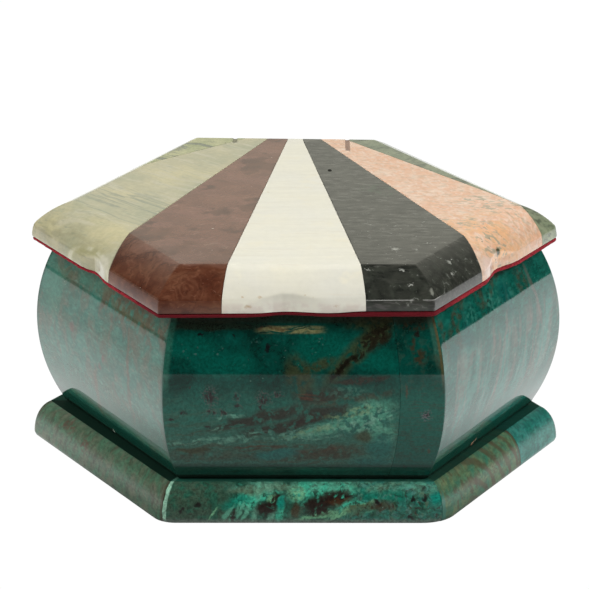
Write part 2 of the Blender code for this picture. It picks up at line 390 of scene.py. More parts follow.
PLINTH_EDGES = (5.9, 8.9, 1.6, 3.0, 3.0, 1.6)  # how worn each corner is at the foot, from the front left
near_points = cad_points("plinth_front_right_near")[:, :2]
side_run = plinth_corners[2] - plinth_corners[1]
side_length = np.linalg.norm(side_run)
butt = ((near_points - plinth_corners[1]) @ side_run).max() / (side_run @ side_run) + HALF_GAP / side_length
lengths = (("_far", butt, 1.0), ("_near", 0.0, butt))
strips = build_sides("plinth_", lengths, plinth_corners, PLINTH_EDGES, strip_section)

# %% [markdown]
# ## The floor of the box
#
# A plain honed slab closes the box below. Nobody sees much of it, so a low prism with eased
# arrises will do: rings that shrink a little at the top and the bottom, closed by flat caps.

# %% Floor slab
def ringed(name, rings, replaces):
    """A closed solid from rings of equal count, each a list of points; the first and last are capped."""
    rings = np.array(rings)
    return make_piece(name, rings.reshape(-1, 3), tube_faces(*rings.shape[:2]), replaces)


def raised(plan, z):
    """Plan points at a height."""
    return np.column_stack([plan, np.full(len(plan), z)])


slab_corners = hug(at_height(cad_points("base_slab"), 0))
SLAB_RINGS = ((0.996, 0.0), (1.0, 0.25), (1.0, PLINTH_TOP - 0.25), (0.996, PLINTH_TOP))
slab_rings = [raised(slab_corners * share, z) for share, z in SLAB_RINGS]
floor_slab = ringed("stone_floor", slab_rings, ["base_slab"])

# %% [markdown]
# ## The lid
#
# The lid is one plate when it is ground: an upright band, a hand-ground bevel and a flat
# top. Only the back edge is left square. Three finger scoops are cut upright into its front
# edges. We describe the whole plate as rings, from the lower outline to the outline of the
# flat top. The saw cuts come last, just as the seams of the real lid run through the
# finished bevel: on each ring we look up where the straight joints cross it, and each stone
# takes the stretch between two crossings.

# %% The outlines of the lid
RING_POINTS = 400  # on each of the six sides
RING_ORDER = (4, 5, 0, 1, 2, 3)  # the rings start at the rear left corner
RING_ROUNDING = 0.12  # width of the bell curve that rounds their corners
ring_places = np.linspace(0, 1, RING_POINTS, endpoint=False)


def scoop_depth(side, places):
    """Depth of the finger scoop along a side of the lid, read from the CAD outline."""
    points = at_height(lid_points, UNDER)
    start, run = lid_corners[side], lid_corners[(side + 1) % 6] - lid_corners[side]
    place = (points - start) @ run / (run @ run)
    depth = (start - points) @ outward(lid_corners, side)
    near = (place > 0.02) & (place < 0.98) & (depth < 3)
    order = np.argsort(place[near])
    known = np.concatenate([[0.01], place[near][order], [0.99]])
    return np.clip(np.interp(places, known, np.concatenate([[0], depth[near][order], [0]])) - 0.03, 0, None)


def soften(ring, width):
    """A closed ring smoothed by a bell curve of that width in millimetres, which rounds its corners."""
    step = np.linalg.norm(ring[1] - ring[0])
    spread = np.arange(-round(4 * width / step), round(4 * width / step) + 1) * step
    bell = np.exp(-0.5 * (spread / width) ** 2)
    bell /= bell.sum()
    pad = len(spread) // 2
    padded = np.concatenate([ring[-pad:], ring, ring[:pad]])
    return np.stack([np.convolve(padded[:, k], bell, "valid") for k in (0, 1)], -1)


def side_ring(corners):
    """A ring of points along the six sides of a hexagon."""
    runs = np.roll(corners, -1, axis=0) - corners
    return np.concatenate([corners[s] + runs[s] * ring_places[:, None] for s in RING_ORDER])


outline = soften(side_ring(lid_corners), RING_ROUNDING)
facet_ring = soften(side_ring(facet_corners), RING_ROUNDING)
bevel_widths = [outward(lid_corners, s) @ (lid_corners[s] - facet_corners[s]) for s in RING_ORDER]
scoops = np.concatenate([scoop_depth(s, ring_places) / w for s, w in zip(RING_ORDER[:-1], bevel_widths)]
                        + [np.zeros(RING_POINTS)])
print("deepest scoop as a share of the bevel:", scoops.max().round(3))

# %% [markdown]
# The bevel is an arc that leaves the flat top at a gentle slope and meets the band at a
# steep one. We walk along it in small steps, adding up the slope, and ease the two creases
# so that they catch a soft line of light. Where a scoop is cut, no ring lies further out
# than the scoop's upright wall. A plain maximum would leave a knife edge there, so a soft
# one is used.

# %% The rings of the lid
FACET_SLOPE, BAND_SLOPE = 15.0, 50.0
SCOOP_EASE = 0.016  # how soft the rim of a scoop is, as a share of the bevel


def bevel_profile(steps=56):
    """Rows of share and height from the leaning band to the flat top, made by adding up a slope.

    The slope falls from BAND_SLOPE to FACET_SLOPE along the way and eases to 0 at the top,
    and the heights are stretched to fit between the band and the flat top.
    """
    share = np.linspace(0, 1, steps)
    slope = np.tan(np.radians(BAND_SLOPE + (FACET_SLOPE - BAND_SLOPE) * share))
    slope *= np.clip((1.02 - share) / 0.06, 0, 1)
    slope += 2.2 * np.exp(-share / 0.012)
    rise = np.concatenate([[0], np.cumsum((slope[1:] + slope[:-1]) / 2)])
    return list(zip(LEAN + (1 - LEAN) * share, BAND_TOP + (TOP - BAND_TOP) * rise / rise[-1]))


def share_at(z):
    """Share of the way from outline to flat top at which the CAD outline of a height lies, at the front."""
    across = outward(lid_corners, 0)
    outer, inner = across @ lid_corners[0], across @ facet_corners[0]
    return (outer - (at_height(lid_points, z) @ across).max()) / (outer - inner)


def scooped_share(share):
    """Share of the way from outline to flat top, held back by the scoops with a soft maximum.

    To the share it adds k log(1 + exp((scoop - share) / k)), faded in with the scoop.
    """
    k = SCOOP_EASE
    return share + k * np.log1p(np.exp((scoops - share) / k)) * np.tanh(scoops / k)


LEAN = share_at(BAND_TOP)
BAND_HEIGHTS = np.linspace(0.12, 0.92, 9)
BAND_ROWS = [(0.03, UNDER), (0.006, UNDER + 0.12)]
BAND_ROWS += [(LEAN * t ** 2.2, UNDER + (BAND_TOP - UNDER) * t) for t in BAND_HEIGHTS]
profile = BAND_ROWS + bevel_profile()
rings = [outline + (facet_ring - outline) * scooped_share(share)[:, None] for share, _ in profile]
print("rows of the lid's profile:", len(profile))

# %% [markdown]
# A joint is a straight saw cut. The construction model shows it as the largest upright face
# of a stone on that side, so its line in plan can be read there.

# %% The joints
def joint_right_of(node):
    """Normal and offset, in plan, of the largest upright face of a lid stone that faces right."""
    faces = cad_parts[node].data.polygons
    best = max((p for p in faces if abs(p.normal.z) < 0.01 and p.normal.x > 0.5), key=lambda p: p.area)
    normal = unit(np.array(best.normal)[:2])
    return normal, normal @ (np.array(best.center)[:2] / MM) + HALF_GAP


joints = [joint_right_of(n) for n in LID[:-1]]
print("joint normals:", [n.round(3).tolist() for n, _ in joints])


def crossings(ring, joint, shift):
    """Where a ring crosses a joint line moved by shift, as two fractional places along the ring."""
    normal, offset = joint
    side = ring @ normal - (offset + shift)
    after = np.roll(side, -1)
    at = np.nonzero(side * after < 0)[0]
    return np.sort(at + side[at] / (side[at] - after[at]))[[0, -1]]


def along_ring(ring, places):
    """Points of a ring at fractional places, which may be negative or past its end."""
    low = np.floor(places).astype(int)
    part = (places - low)[:, None]
    return ring[low % len(ring)] * (1 - part) + ring[(low + 1) % len(ring)] * part


# %% [markdown]
# Each stone is then one grid: rows up the band and the bevel, and more rows over the flat
# top to the back. A middle stone runs back to the lid's square edge. The two outer stones
# have the back edge in their ring already, so their rows close on the joint itself.

# %% Saw the stones
JOINT_EASE = ((0, 0.07), (1, 0.015))  # columns from a joint, and how far each is lowered
STONE_COLUMNS = 170  # across a stone, between the closer ones at its joints
FELT_THICKENS = (9.0, 8.0, 0.4)  # x where the felt starts to thicken, over what run, and by how much


def column_places(width):
    """Shares across a stone, with two extra columns close to each joint for its eased arris."""
    close = np.array([0.0, 0.12, 0.3]) / width
    middle = np.linspace(close[-1], 1 - close[-1], STONE_COLUMNS)[1:-1]
    return np.concatenate([close, middle, 1 - close[::-1]])


def lower_edge(x):
    """How much lower than the frame's underside a stone reaches: the felt is thinner on the left."""
    start, run, depth = FELT_THICKENS
    rise = np.clip((x - start) / run, 0, 1)
    return depth * (1 - rise * rise * (3 - 2 * rise))


def sawn(index, inland=60):
    """Grid of the points of one lid stone, and how many of its rows belong to the ring part."""
    left = joints[index - 1] if index > 0 else None
    right = joints[index] if index < len(joints) else None
    rows = []
    for ring in rings:
        start = crossings(ring, left, SEAM)[0] if left else crossings(ring, right, -SEAM)[1] - len(ring)
        stop = crossings(ring, right, -SEAM)[0] if right else crossings(ring, left, SEAM)[1]
        width = np.linalg.norm(along_ring(ring, np.array([start]))[0] - along_ring(ring, np.array([stop]))[0])
        rows.append((ring, start, stop))
    columns = column_places(max(width, 8))
    grid = [
        np.column_stack([along_ring(ring, start + (stop - start) * columns), np.full(len(columns), z)])
        for (ring, start, stop), (_, z) in zip(rows, profile)
    ]
    ring = rings[-1]
    if left and right:
        back = along_ring(ring, np.array([crossings(ring, left, SEAM)[1], crossings(ring, right, -SEAM)[1]]))
    else:
        back = grid[-1][[0, -1], :2]
    chord = back[0] + (back[1] - back[0]) * columns[:, None]
    edge = grid[-1][:, :2]
    for share in 1 - np.linspace(1, 0, inland + 1)[1:] ** 1.6:
        grid.append(raised(edge + (chord - edge) * share, TOP))
    grid = np.array(grid)
    grid[:3, :, 2] -= lower_edge(grid[:3, :, 0])
    return grid, back


SLOTS = ((-16.4, 53.6), (14.1, 46.2))  # x, and how far forward each reaches from the back edge


def slots(points):
    """1 in the two short filled slots of the back edge, 0 outside, with soft flanks."""
    x, y, _ = np.moveaxis(points, -1, 0)
    depth = [np.clip((0.7 - np.abs(x - slot_x)) / 0.4, 0, 1) * np.clip((y - slot_y) / 0.5, 0, 1)
             for slot_x, slot_y in SLOTS]
    return np.max(depth, axis=0)


def ease_joints(grid):
    """Lower the outermost columns of a stone a little, for the eased arris along a joint."""
    for column, drop in JOINT_EASE:
        grid[3:, [column, -1 - column], 2] -= drop
    return grid


def lid_stone(index):
    """One stone of the lid as a closed piece, with its distance to the nearest joint."""
    name = LID[index]
    grid, back = sawn(index)
    rows, columns = grid.shape[:2]
    grid = ease_joints(grid)
    lift = 0.015 * uneven(grid) - 0.2 * slots(grid)
    lift[:4] = 0
    grid[..., 2] = np.minimum(grid[..., 2] + lift, TOP)
    points = grid.reshape(-1, 3)
    faces = grid_faces(rows, columns)
    ids = np.arange(rows * columns).reshape(rows, columns)
    first, last, bottom_row, top_row = (row.tolist() for row in (ids[:, 0], ids[:, -1], ids[0], ids[-1]))
    if 0 < index < len(joints):
        points = np.concatenate([points, raised(back, UNDER)])
        a, b = len(points) - 2, len(points) - 1
        faces += [first + [a], last + [b], top_row + [b, a], bottom_row + [b, a]]
    else:
        faces += [first + top_row[1:-1] + last[::-1], bottom_row]
    plan = points[:, :2]
    near = [np.abs(plan @ n - o) for n, o in joints[max(index - 1, 0):index + 1]]
    return make_piece("stone_" + name, points, faces, [name], {"joint": np.min(near, axis=0)})


stones = {LID[i]: lid_stone(i) for i in range(len(LID))}

# %% [markdown]
# ## The felt
#
# The lining is a single sheet of wool felt, about a millimetre thick, cut to the lid and
# glued on. It is pressed thinner on the left. Its cut edge is soft, so the rings round it
# off, and a fine unevenness gives it a fibrous outline.

# %% Felt sheet
# Inset from the cut edge and share of the thickness, from the middle over the edge and back
FELT_SECTION = ((60, 1), (30, 1), (4, 1), (0.5, 1), (0.15, 0.85), (0.02, 0.5),
                (0.12, 0.2), (0.6, 0), (3.9, 0), (4.5, 0), (30, 0), (60, 0))


def felt_rings():
    """Rings of the sheet: over its upper face, round the cut edge and back under it."""
    cut = soften(rings[2], 0.5)[::4]
    bearing = cut / np.linalg.norm(cut, axis=1)[:, None]
    fray = 0.1 * uneven(np.column_stack([cut * 9, np.zeros(len(cut))]))
    upper = UNDER - 0.03 - lower_edge(cut[:, 0])
    sag = 0.25 + 0.3 * np.clip(-cut[:, 1] / 50, 0, 1)
    made = []
    for inset, part in FELT_SECTION:
        reach = np.minimum(inset, 0.98 * np.linalg.norm(cut, axis=1))
        plan = cut - bearing * (reach - fray * (inset < 1))[:, None]
        top = upper if inset < 4 else np.full(len(cut), UNDER - 0.45)
        bottom = RIM + 0.4 - sag * (inset < 4)
        made.append(np.column_stack([plan, bottom + (top - bottom) * part]))
    return made


felt = ringed("felt_lining", felt_rings(), ["lid_felt"])

# %% [markdown]
# ## Writing shader maths in Python
#
# Stone is all in its pattern, and a pattern is arithmetic on noise. Drawing dozens of Math
# nodes by hand hides the idea, so a small class wraps a socket and lets us write sums as in
# any Python program. Each operator adds one Math node. Colours are red, green and blue in
# thousandths, which keeps a long list of them easy to read.

# %% A socket that can be added and multiplied
def operator(operation, swapped=False):
    """An arithmetic operator of Wire, as one Math node."""
    def method(self, other):
        return self.graph.maths(operation, *((other, self) if swapped else (self, other)))
    return method


class Wire:
    """An output socket of a shader, with arithmetic."""

    __add__ = __radd__ = operator("ADD")
    __mul__ = __rmul__ = operator("MULTIPLY")
    __sub__, __rsub__ = operator("SUBTRACT"), operator("SUBTRACT", swapped=True)

    def __init__(self, graph, socket):
        self.graph = graph
        self.socket = socket

    def maths(self, operation, *others):
        """One Math node on this wire and the others."""
        return self.graph.maths(operation, self, *others)

    def beside(self, name):
        """Another output of the node that this wire comes from."""
        return Wire(self.graph, self.socket.node.outputs[name])


def label(key):
    """The name of a shader's socket, from the name of an argument."""
    return key.replace("_", " ").title().replace("Ior", "IOR")


def full(colour):
    """The red, green, blue and alpha of a colour given in thousandths."""
    return *(part / 1000 for part in colour), 1


class Graph:
    """A node tree, one method that adds any node to it, and short ones for the nodes used most."""

    def __init__(self, tree, shader):
        self.tree = tree
        self.shader = tree.nodes[shader]

    def node(self, kind, settings=None, values=None, out=0):
        """Add any node: its settings first, then the values or links of its sockets."""
        made = self.tree.nodes.new(kind)
        for key, value in (settings or {}).items():
            setattr(made, key, value)
        for key, value in (values or {}).items():
            if isinstance(value, Wire):
                self.tree.links.new(value.socket, made.inputs[key])
            else:
                made.inputs[key].default_value = value
        return Wire(self, made.outputs[out])

    def feed(self, **links):
        """Link wires to the shader's own sockets, named in lower case."""
        for key, wire in links.items():
            self.tree.links.new(wire.socket, self.shader.inputs[label(key)])

    def maths(self, operation, *values):
        """One Math node on these values."""
        return self.node("ShaderNodeMath", {"operation": operation}, dict(enumerate(values)))

    def vector_maths(self, operation, values, out=0):
        """One Vector Math node."""
        return self.node("ShaderNodeVectorMath", {"operation": operation}, values, out)

    def step(self, wire, low, high, kind="SMOOTHSTEP"):
        """A step from 0 at low to 1 at high, smooth unless LINEAR is asked for; low may be the larger."""
        return self.node("ShaderNodeMapRange", {"interpolation_type": kind}, {
            "Value": wire, "From Min": low, "From Max": high}, out="Result")

    def mix(self, factor, a, b):
        """Colour a, going to colour b as the factor goes to 1; a wire may stand for either."""
        a, b = (c if isinstance(c, Wire) else full(c) for c in (a, b))
        return self.node("ShaderNodeMix", {"data_type": "RGBA"}, {0: factor, 6: a, 7: b}, out=2)

    def parts(self, vector):
        """The x, y and z of a vector, as three wires."""
        x = self.node("ShaderNodeSeparateXYZ", {}, {"Vector": vector})
        return [x, x.beside("Y"), x.beside("Z")]


DEEP_ENOUGH = 999  # radius of a spot square to its plane, so that it goes through the stone


class Bench(Graph):
    """A material under construction: a Principled BSDF and the nodes that feed it.

    place holds millimetre coordinates and colour the layers laid so far. Patterns lie in the
    x-z plane for an upright stone and in the x-y plane for a lying one.
    """

    def __init__(self, name, upright=False, **constants):
        self.upright = upright
        self.material = bpy.data.materials.new(name)
        self.material.use_nodes = True
        super().__init__(self.material.node_tree, "Principled BSDF")
        for key, value in constants.items():
            self.shader.inputs[label(key)].default_value = value
        self.object_place = self.node("ShaderNodeMapping", {}, {
            "Vector": self.node("ShaderNodeTexCoord", out="Object"), "Scale": (1 / MM,) * 3})
        self.place = self.object_place
        self.colour = None

    def finish(self, *pieces):
        """Give the material, with its layered colour, to pieces."""
        if self.colour:
            self.feed(base_color=self.colour)
        for piece in pieces:
            piece.data.materials.clear()
            piece.data.materials.append(self.material)
        print(f"{self.material.name}: {len(self.tree.nodes)} nodes")

    # Places

    def axes(self, where=None):
        """The x, y and z of a place."""
        return self.parts(where or self.place)

    def field(self, name):
        """A number stored on the mesh, such as the distance to a joint."""
        return self.node("ShaderNodeAttribute", {"attribute_name": name}, out="Fac")

    def along_side(self):
        """Place on a slanting side: the distance along it, nothing, the height."""
        return self.node("ShaderNodeCombineXYZ", {}, {0: self.field("along"), 2: self.axes()[2]})

    def laid(self, centre, radii, turn=(0, 0, 0), where=None):
        """Coordinates in which the ellipsoid with this centre, radii and turn is the unit ball."""
        return self.node("ShaderNodeMapping", {"vector_type": "TEXTURE"}, {
            "Vector": where or self.place, "Location": centre,
            "Rotation": [math.radians(t) for t in turn], "Scale": radii})

    def drawn(self, *sizes, turn=(0, 0, 0)):
        """The place with its three axes divided by sizes, which draws a pattern out along them."""
        return self.laid((0, 0, 0), sizes, turn)

    def warped(self, size, amount):
        """The place pushed about by noise of that size, by up to about half the amount."""
        push = self.node("ShaderNodeTexNoise", {}, {
            "Vector": self.place, "Scale": 1 / size, "Detail": 3.0}, out="Color")
        push = self.vector_maths("SUBTRACT", {0: push, 1: (0.5, 0.5, 0.5)})
        return self.vector_maths("MULTIPLY_ADD", {0: push, 1: (amount, amount, amount), 2: self.place})

    # Patterns

    def noise(self, size, detail=4.0, rough=0.55, where=None):
        """Cloudy noise around 0.5, with features of that size in millimetres."""
        return self.node("ShaderNodeTexNoise", {}, {
            "Vector": where or self.place, "Scale": 1 / size, "Detail": detail, "Roughness": rough},
            out="Fac")

    def torn(self, size, detail, low, high):
        """A mask of noise: 0 where it lies below one edge and 1 above the other."""
        return self.step(self.noise(size, detail), low, high)

    def streaks(self, length, width, turn=0, detail=3.0):
        """Noise drawn out along one direction of the stone's plane."""
        if self.upright:
            return self.noise(1.0, detail, where=self.drawn(length, length, width, turn=(0, -turn, 0)))
        return self.noise(1.0, detail, where=self.drawn(length, width, width, turn=(0, 0, turn)))

    def cells(self, size, where=None, feature="F1"):
        """Distance to the nearest of scattered points, in cells of that size."""
        return self.node("ShaderNodeTexVoronoi", {"feature": feature}, {
            "Vector": where or self.place, "Scale": 1 / size}, out="Distance")

    def specks(self, size, radius, share, where=None):
        """Round specks in cells of that size; the radius is in cells, and a share of the cells has one."""
        cells = self.cells(size, where)
        chance = self.parts(cells.beside("Color"))[0]
        return self.step(cells, radius, radius * 0.6) * self.step(chance, share, share - 0.02)

    def reach(self, centre, radii, turn=(0, 0, 0), where=None):
        """Distance from a centre, measured in radii."""
        return self.vector_maths("LENGTH", {0: self.laid(centre, radii, turn, where)}, out="Value")

    def patch(self, centre, radii, turn=(0, 0, 0), soft=0.4, where=None):
        """1 inside an ellipsoid and 0 outside, with a soft rim."""
        return self.step(self.reach(centre, radii, turn, where), 1 + soft, 1 - soft)

    def spot(self, x, h, across, up, turn=0, soft=0.45, where=None):
        """A patch given in the stone's own plane; turn is anticlockwise in degrees."""
        if self.upright:
            return self.patch((x, 0, h), (across, DEEP_ENOUGH, up), (0, -turn, 0), soft, where)
        return self.patch((x, h, 0), (across, up, DEEP_ENOUGH), (0, 0, turn), soft, where)

    # Layers

    def ramp(self, wire, *stops):
        """A colour ramp, as pairs of position and colour."""
        made = self.node("ShaderNodeValToRGB", {}, {"Fac": wire}, out="Color")
        elements = made.socket.node.color_ramp.elements
        while len(elements) < len(stops):
            elements.new(0.5)
        for element, (position, colour) in zip(elements, stops):
            element.position, element.color = position, full(colour)
        return made

    def ground(self, noise, *colours, stops=(0.34, 0.5, 0.66)):
        """Begin the layers with clouds that go through three colours."""
        self.colour = self.ramp(self.noise(*noise), *zip(stops, colours))

    def over(self, mask, colour):
        """Lay a colour over the layers so far, where the mask is 1."""
        self.colour = self.mix(mask, self.colour, colour)

    def lay(self, pattern, low, high, strength, colour):
        """Lay a colour where a pattern has gone from low to high, as strongly as a number or wire says."""
        self.over(self.step(pattern, low, high) * strength, colour)

    def clouds(self, noise, edges, strength, colour, where=None):
        """Lay a colour where a noise of that size and detail has gone from one edge to the other."""
        self.lay(self.noise(*noise, where=where), *edges, strength, colour)

    def veins(self, streaks, edges, strength, colour):
        """Lay a colour where streaks of that length, width, turn and detail have done so."""
        self.lay(self.streaks(*streaks), *edges, strength, colour)

    def stain(self, colour, strength, *places, where=None):
        """Lay one colour over several spots, each given as x, height, two radii and maybe a turn."""
        for place in places:
            self.over(self.spot(*place, where=where) * strength, colour)

    def flecks(self, spots, thickness, push, strength, colour):
        """Lay a colour over ragged flecks, each given as a centre and a size."""
        ragged = self.warped(*push)
        for centre, size in spots:
            radii = (size, size * 0.8, size * thickness)
            self.over(self.patch(centre, radii, soft=0.6, where=ragged) * strength, colour)

    def shade(self, factor):
        """Lighten or darken all layers so far by a factor."""
        self.colour = self.vector_maths("SCALE", {0: self.colour, "Scale": factor})

    def dim(self, pattern, low, high, amount):
        """Darken the layers so far by a share where a pattern has gone from low to high."""
        self.shade(self.step(pattern, low, high) * amount * -1 + 1.0)

    def grit(self, size, amount, where=None):
        """Vary the layers so far by fine noise: a factor from 1 - amount to 1 + amount."""
        self.shade(self.step(self.noise(size, 5, 0.65, where), 0.3, 0.7) * (2 * amount) + (1 - amount))

    def bump(self, height, depth):
        """Relief from a height wire, with its depth in millimetres."""
        self.feed(normal=self.node("ShaderNodeBump", {}, {
            "Height": height, "Distance": depth * MM, "Strength": 1.0}, out="Normal"))


# %% [markdown]
# ## The lid: pale stones
#
# White marble is nearly one colour, and yet a single flat white would look like plastic. Its
# life is in three faint layers: a long horizontal grain, warm clouds, and a few rusty flecks
# at the edge where iron came out of the stone. The layers are laid over each other as a
# painter would, from the broad to the small.

# %% White marble
WHITE_FLECKS = (((2.7, -56.1, 58.4), 0.28), ((-10.7, -57.4, 55.9), 0.7), ((-7.9, -56.6, 58.1), 0.45),
                ((10.2, -57.3, 56.0), 0.6), ((-6.8, 9.0, 63.3), 0.35), ((-12.0, -56.4, 58.0), 0.3))


def white_marble():
    """Warm ivory with a faint grain, with painted shade that darkens it down the bevel and painted light on
    the band.
    """
    b = Bench("white_marble", roughness=0.14, ior=1.55)
    b.colour = b.ramp(b.noise(13, 5), (0.35, (825, 795, 660)), (0.65, (805, 785, 680)))
    b.shade(b.step(b.streaks(30, 2.2, 1.5, 4), 0.35, 0.65) * 0.035 + 0.98)
    b.grit(1.6, 0.02)
    z = b.axes()[2]
    # painted shade: darker down from the flat top over the bevel
    b.dim(z, 63.25, 62.0, 0.11)
    b.dim(z, 62.5, 57.8, 0.09)
    # painted light: the band brighter
    b.dim(z, BAND_TOP + 0.8, BAND_TOP - 0.8, -0.12)
    b.lay(z, 57.4, 55.6, b.step(b.noise(3), 0.4, 0.6) * 0.5, (620, 520, 460))
    b.clouds((7, 3), (0.55, 0.72), 0.4, (850, 790, 600))
    b.veins((18, 1.4, -3), (0.6, 0.7), 0.2, (660, 580, 440))
    b.flecks(WHITE_FLECKS, 0.6, (0.6, 1.2), 0.6, (450, 300, 140))
    b.over(b.specks(4.5, 0.04, 0.2) * 0.5, (500, 430, 300))
    b.bump(b.noise(2.2, 4), 0.006)
    return b


white_marble().finish(stones["lid_white"])

# %% [markdown]
# Further left lies a pale stone, beige with yellow-green clouds, whose long streaks slope
# across the lid. The streaks are one noise, stretched along their run: turned coordinates
# are divided by a long and a short length before the noise is looked up.

# %% Pale stone
def slot_stain(b):
    """The dark filling of the two short slots in the back edge."""
    x, y, _ = b.axes(b.object_place)
    for (slot_x, slot_y), colour in zip(SLOTS, ((130, 120, 60), (200, 85, 50))):
        off = (x - slot_x).maths("ABSOLUTE")
        b.lay(off, 0.8, 0.5, b.step(y, slot_y - 0.2, slot_y + 0.3) * 0.9, colour)


def painted_shade_down(b, bevel, band):
    """Painted shade: the stone darker down its bevel, and darker again on its band, by these shares."""
    z = b.axes()[2]
    # painted shade on the bevel, then on the band
    b.dim(z, 63.2, 58.5, bevel)
    b.dim(z, BAND_TOP + 0.2, BAND_TOP - 0.4, band)


def pale_stone():
    """Yellow-green beige with sloping grey-green streaks, and painted shade and light that model the hollow
    of the scoop.
    """
    b = Bench("pale_stone", roughness=0.13, ior=1.58)
    b.place = b.warped(14, 3)
    b.ground((15, 4), (400, 400, 260), (480, 450, 285), (560, 510, 300))
    b.veins((16, 3.2, -42), (0.5, 0.68), 0.6, (560, 525, 380))
    streaks = b.step(b.streaks(24, 0.9, -46, 4), 0.5, 0.62)
    b.over(streaks * b.spot(-42, -2, 20, 10, -46, 0.6) * 0.7, (240, 270, 200))
    b.veins((17, 0.6, -43, 5), (0.56, 0.68), 0.5, (300, 340, 240))
    b.veins((7, 2.2, -52, 3), (0.36, 0.6), b.spot(-58.5, -9, 9, 2.4, -52, 0.7) * 0.6, (300, 290, 170))
    b.veins((10, 1.6, -60), (0.5, 0.64), b.spot(-52, -22, 9, 4, -58, 0.5) * 0.35, (360, 340, 190))
    painted_shade_down(b, 0.1, 0.2)
    slot_stain(b)
    # painted shade and light on the scoop: a dark olive arc along its top, a pale crescent within
    rim = b.reach((-50.2, -26.8, 54.6), (6, 10.5, 4.5), (0, 0, 30), b.warped(5, 0.8))
    b.lay(rim, 1.35, 1.0, b.step(rim, 0.5, 0.9) * 0.65, (330, 320, 170))
    b.lay(rim, 1.2, 1.05, b.step(rim, 0.85, 1.0) * b.step(b.noise(4), 0.35, 0.6) * 0.6, (650, 620, 470))
    # painted shade at the left of the scoop, painted light at its right
    b.over(b.patch((-53.4, -21.6, 57.0), (3.2, 3.2, 2.2), soft=0.6) * 0.5, (330, 310, 160))
    b.over(b.patch((-46.4, -31.8, 57.0), (2.4, 3.4, 2.4), soft=0.6) * 0.6, (630, 600, 500))
    b.grit(1.2, 0.06)
    b.bump(b.noise(3, 4), 0.008)
    return b


pale_stone().finish(stones["lid_pale"])

# %% [markdown]
# The two corner stones at the back are serpentines: mottled, with dark patches drawn out
# along the cut. They show little of themselves, and differ in colour and in the way their
# patches run, so one function with five arguments makes both.

# %% Olive stone and grey-green stone
def corner_stone(name, light, mid, dark, turn):
    """A mottled green serpentine: light ground, mid clouds, dark drawn-out patches."""
    b = Bench(name, roughness=0.16, ior=1.57)
    b.place = b.warped(7, 4)
    b.colour = b.mix(b.torn(9, 5, 0.38, 0.62), light, mid)
    b.veins((13, 2.6, turn, 5), (0.5, 0.63), 0.85, dark)
    b.clouds((1.6, 6), (0.6, 0.7), 0.6, light)
    b.over(b.specks(2.2, 0.12, 0.4), tuple(c * 0.4 for c in dark))
    b.grit(1.2, 0.15)
    slot_stain(b)
    b.bump(b.noise(2, 5), 0.01)
    return b


olive = corner_stone("olive_stone", (450, 450, 240), (340, 370, 180), (150, 170, 130), -38)
olive.finish(stones["lid_olive"])
grey_green = corner_stone("grey_green_stone", (240, 270, 170), (160, 200, 120), (70, 90, 60), 35)
grey_green.finish(stones["lid_grey_green"])

# %% [markdown]
# ## The lid: dark stones
#
# The brown-red stone has rings, like agate. A ring pattern is the sine of the distance to a
# centre; pushing the coordinates around first makes the rings wander. On its flat top the
# same stone looks greyish, and that is left to the mirrored sky. Its fine pale scratches
# come from polishing, and are thin slices through a stretched noise.

# %% Brown-red stone
# Centre, size and spacing of the rings
BROWN_SWIRLS = (((-24.9, -55.7, 58.7), 9, 1.7), ((-38.3, -33.4, 62.2), 7, 1.6),
                ((-14.5, -54.0, 60.0), 5, 1.7))


def brown_stone():
    """Dark red-brown with orange agate rings, darker veins and pale polishing scratches."""
    b = Bench("brown_stone", roughness=0.1, ior=1.6)
    b.place = b.warped(9, 7)
    b.place = b.warped(2.0, 0.6)
    b.colour = b.ramp(b.noise(7, 6), (0.36, (85, 24, 12)), (0.5, (130, 43, 22)), (0.66, (175, 70, 37)))
    for centre, size, spacing in BROWN_SWIRLS:
        reach = b.reach(centre, (0.65, 1.1, 1.1), where=b.warped(4, 3.2))
        rings = (reach * (6.28 / spacing)).maths("SINE")
        fade = b.step(reach, size, size * 0.3)
        b.lay(rings, -0.3, 1.0, fade * 0.35, (190, 80, 45))
        b.lay(rings, 0.2, -1.0, fade * 0.3, (70, 26, 17))
    flat = b.step(b.axes()[2], 62.6, 63.2)
    b.veins((14, 1.6, 62, 4), (0.52, 0.68), 0.5 - flat * 0.35, (220, 90, 50))
    b.veins((11, 1.4, 30, 4), (0.52, 0.68), 0.45 - flat * 0.3, (60, 22, 13))
    b.over(flat * 0.35, (200, 75, 40))
    b.shade(flat * 0.2 + 0.8)
    b.veins((18, 6, -8, 2), (0.44, 0.62), flat * 0.45, (230, 95, 65))
    b.over(flat * 0.2, (190, 100, 75))
    b.veins((5, 0.9, 34, 3), (0.56, 0.68), b.step(b.noise(9), 0.46, 0.62) * flat * 0.25, (420, 270, 200))
    b.veins((4, 0.5, -20, 2), (0.64, 0.72), 0.2, (380, 200, 130))
    b.over(b.specks(3.4, 0.06, 0.3), (600, 500, 420))
    # painted shade: the flat darker towards the front, where it mirrors less
    b.dim(b.axes(b.object_place)[1], -18, -46, flat * 0.2)
    b.grit(0.9, 0.12)
    b.feed(roughness=b.step(b.axes(b.object_place)[2], BAND_TOP + 0.3, BAND_TOP - 0.1) * 0.28 + 0.1)
    b.bump(b.streaks(6, 0.8, 20), 0.006)
    return b


brown_stone().finish(stones["lid_brown"])

# %% [markdown]
# Black limestone shows what light does more than what it is made of: its flat top looks
# grey, because it mirrors the bright room. So the ground stays nearly black, and faint
# streaks on the flat stand for the wear that scatters light. The white specks are fossils,
# and ragged spots at chosen places serve better than an even rain of dots.

# %% Black stone
BLACK_SPOTS = (((37.2, -41.0, 61.5), 0.7), ((38.1, -44.4, 59.7), 0.6), ((25.7, -50.0, 62.6), 0.5),
               ((37.9, -39.5, 61.9), 0.4), ((27.9, -53.8, 60.2), 0.5), ((17.4, -50.0, 62.6), 0.45),
               ((24.4, -36.7, 63.3), 0.8), ((39.4, -46.0, 58.8), 0.45))


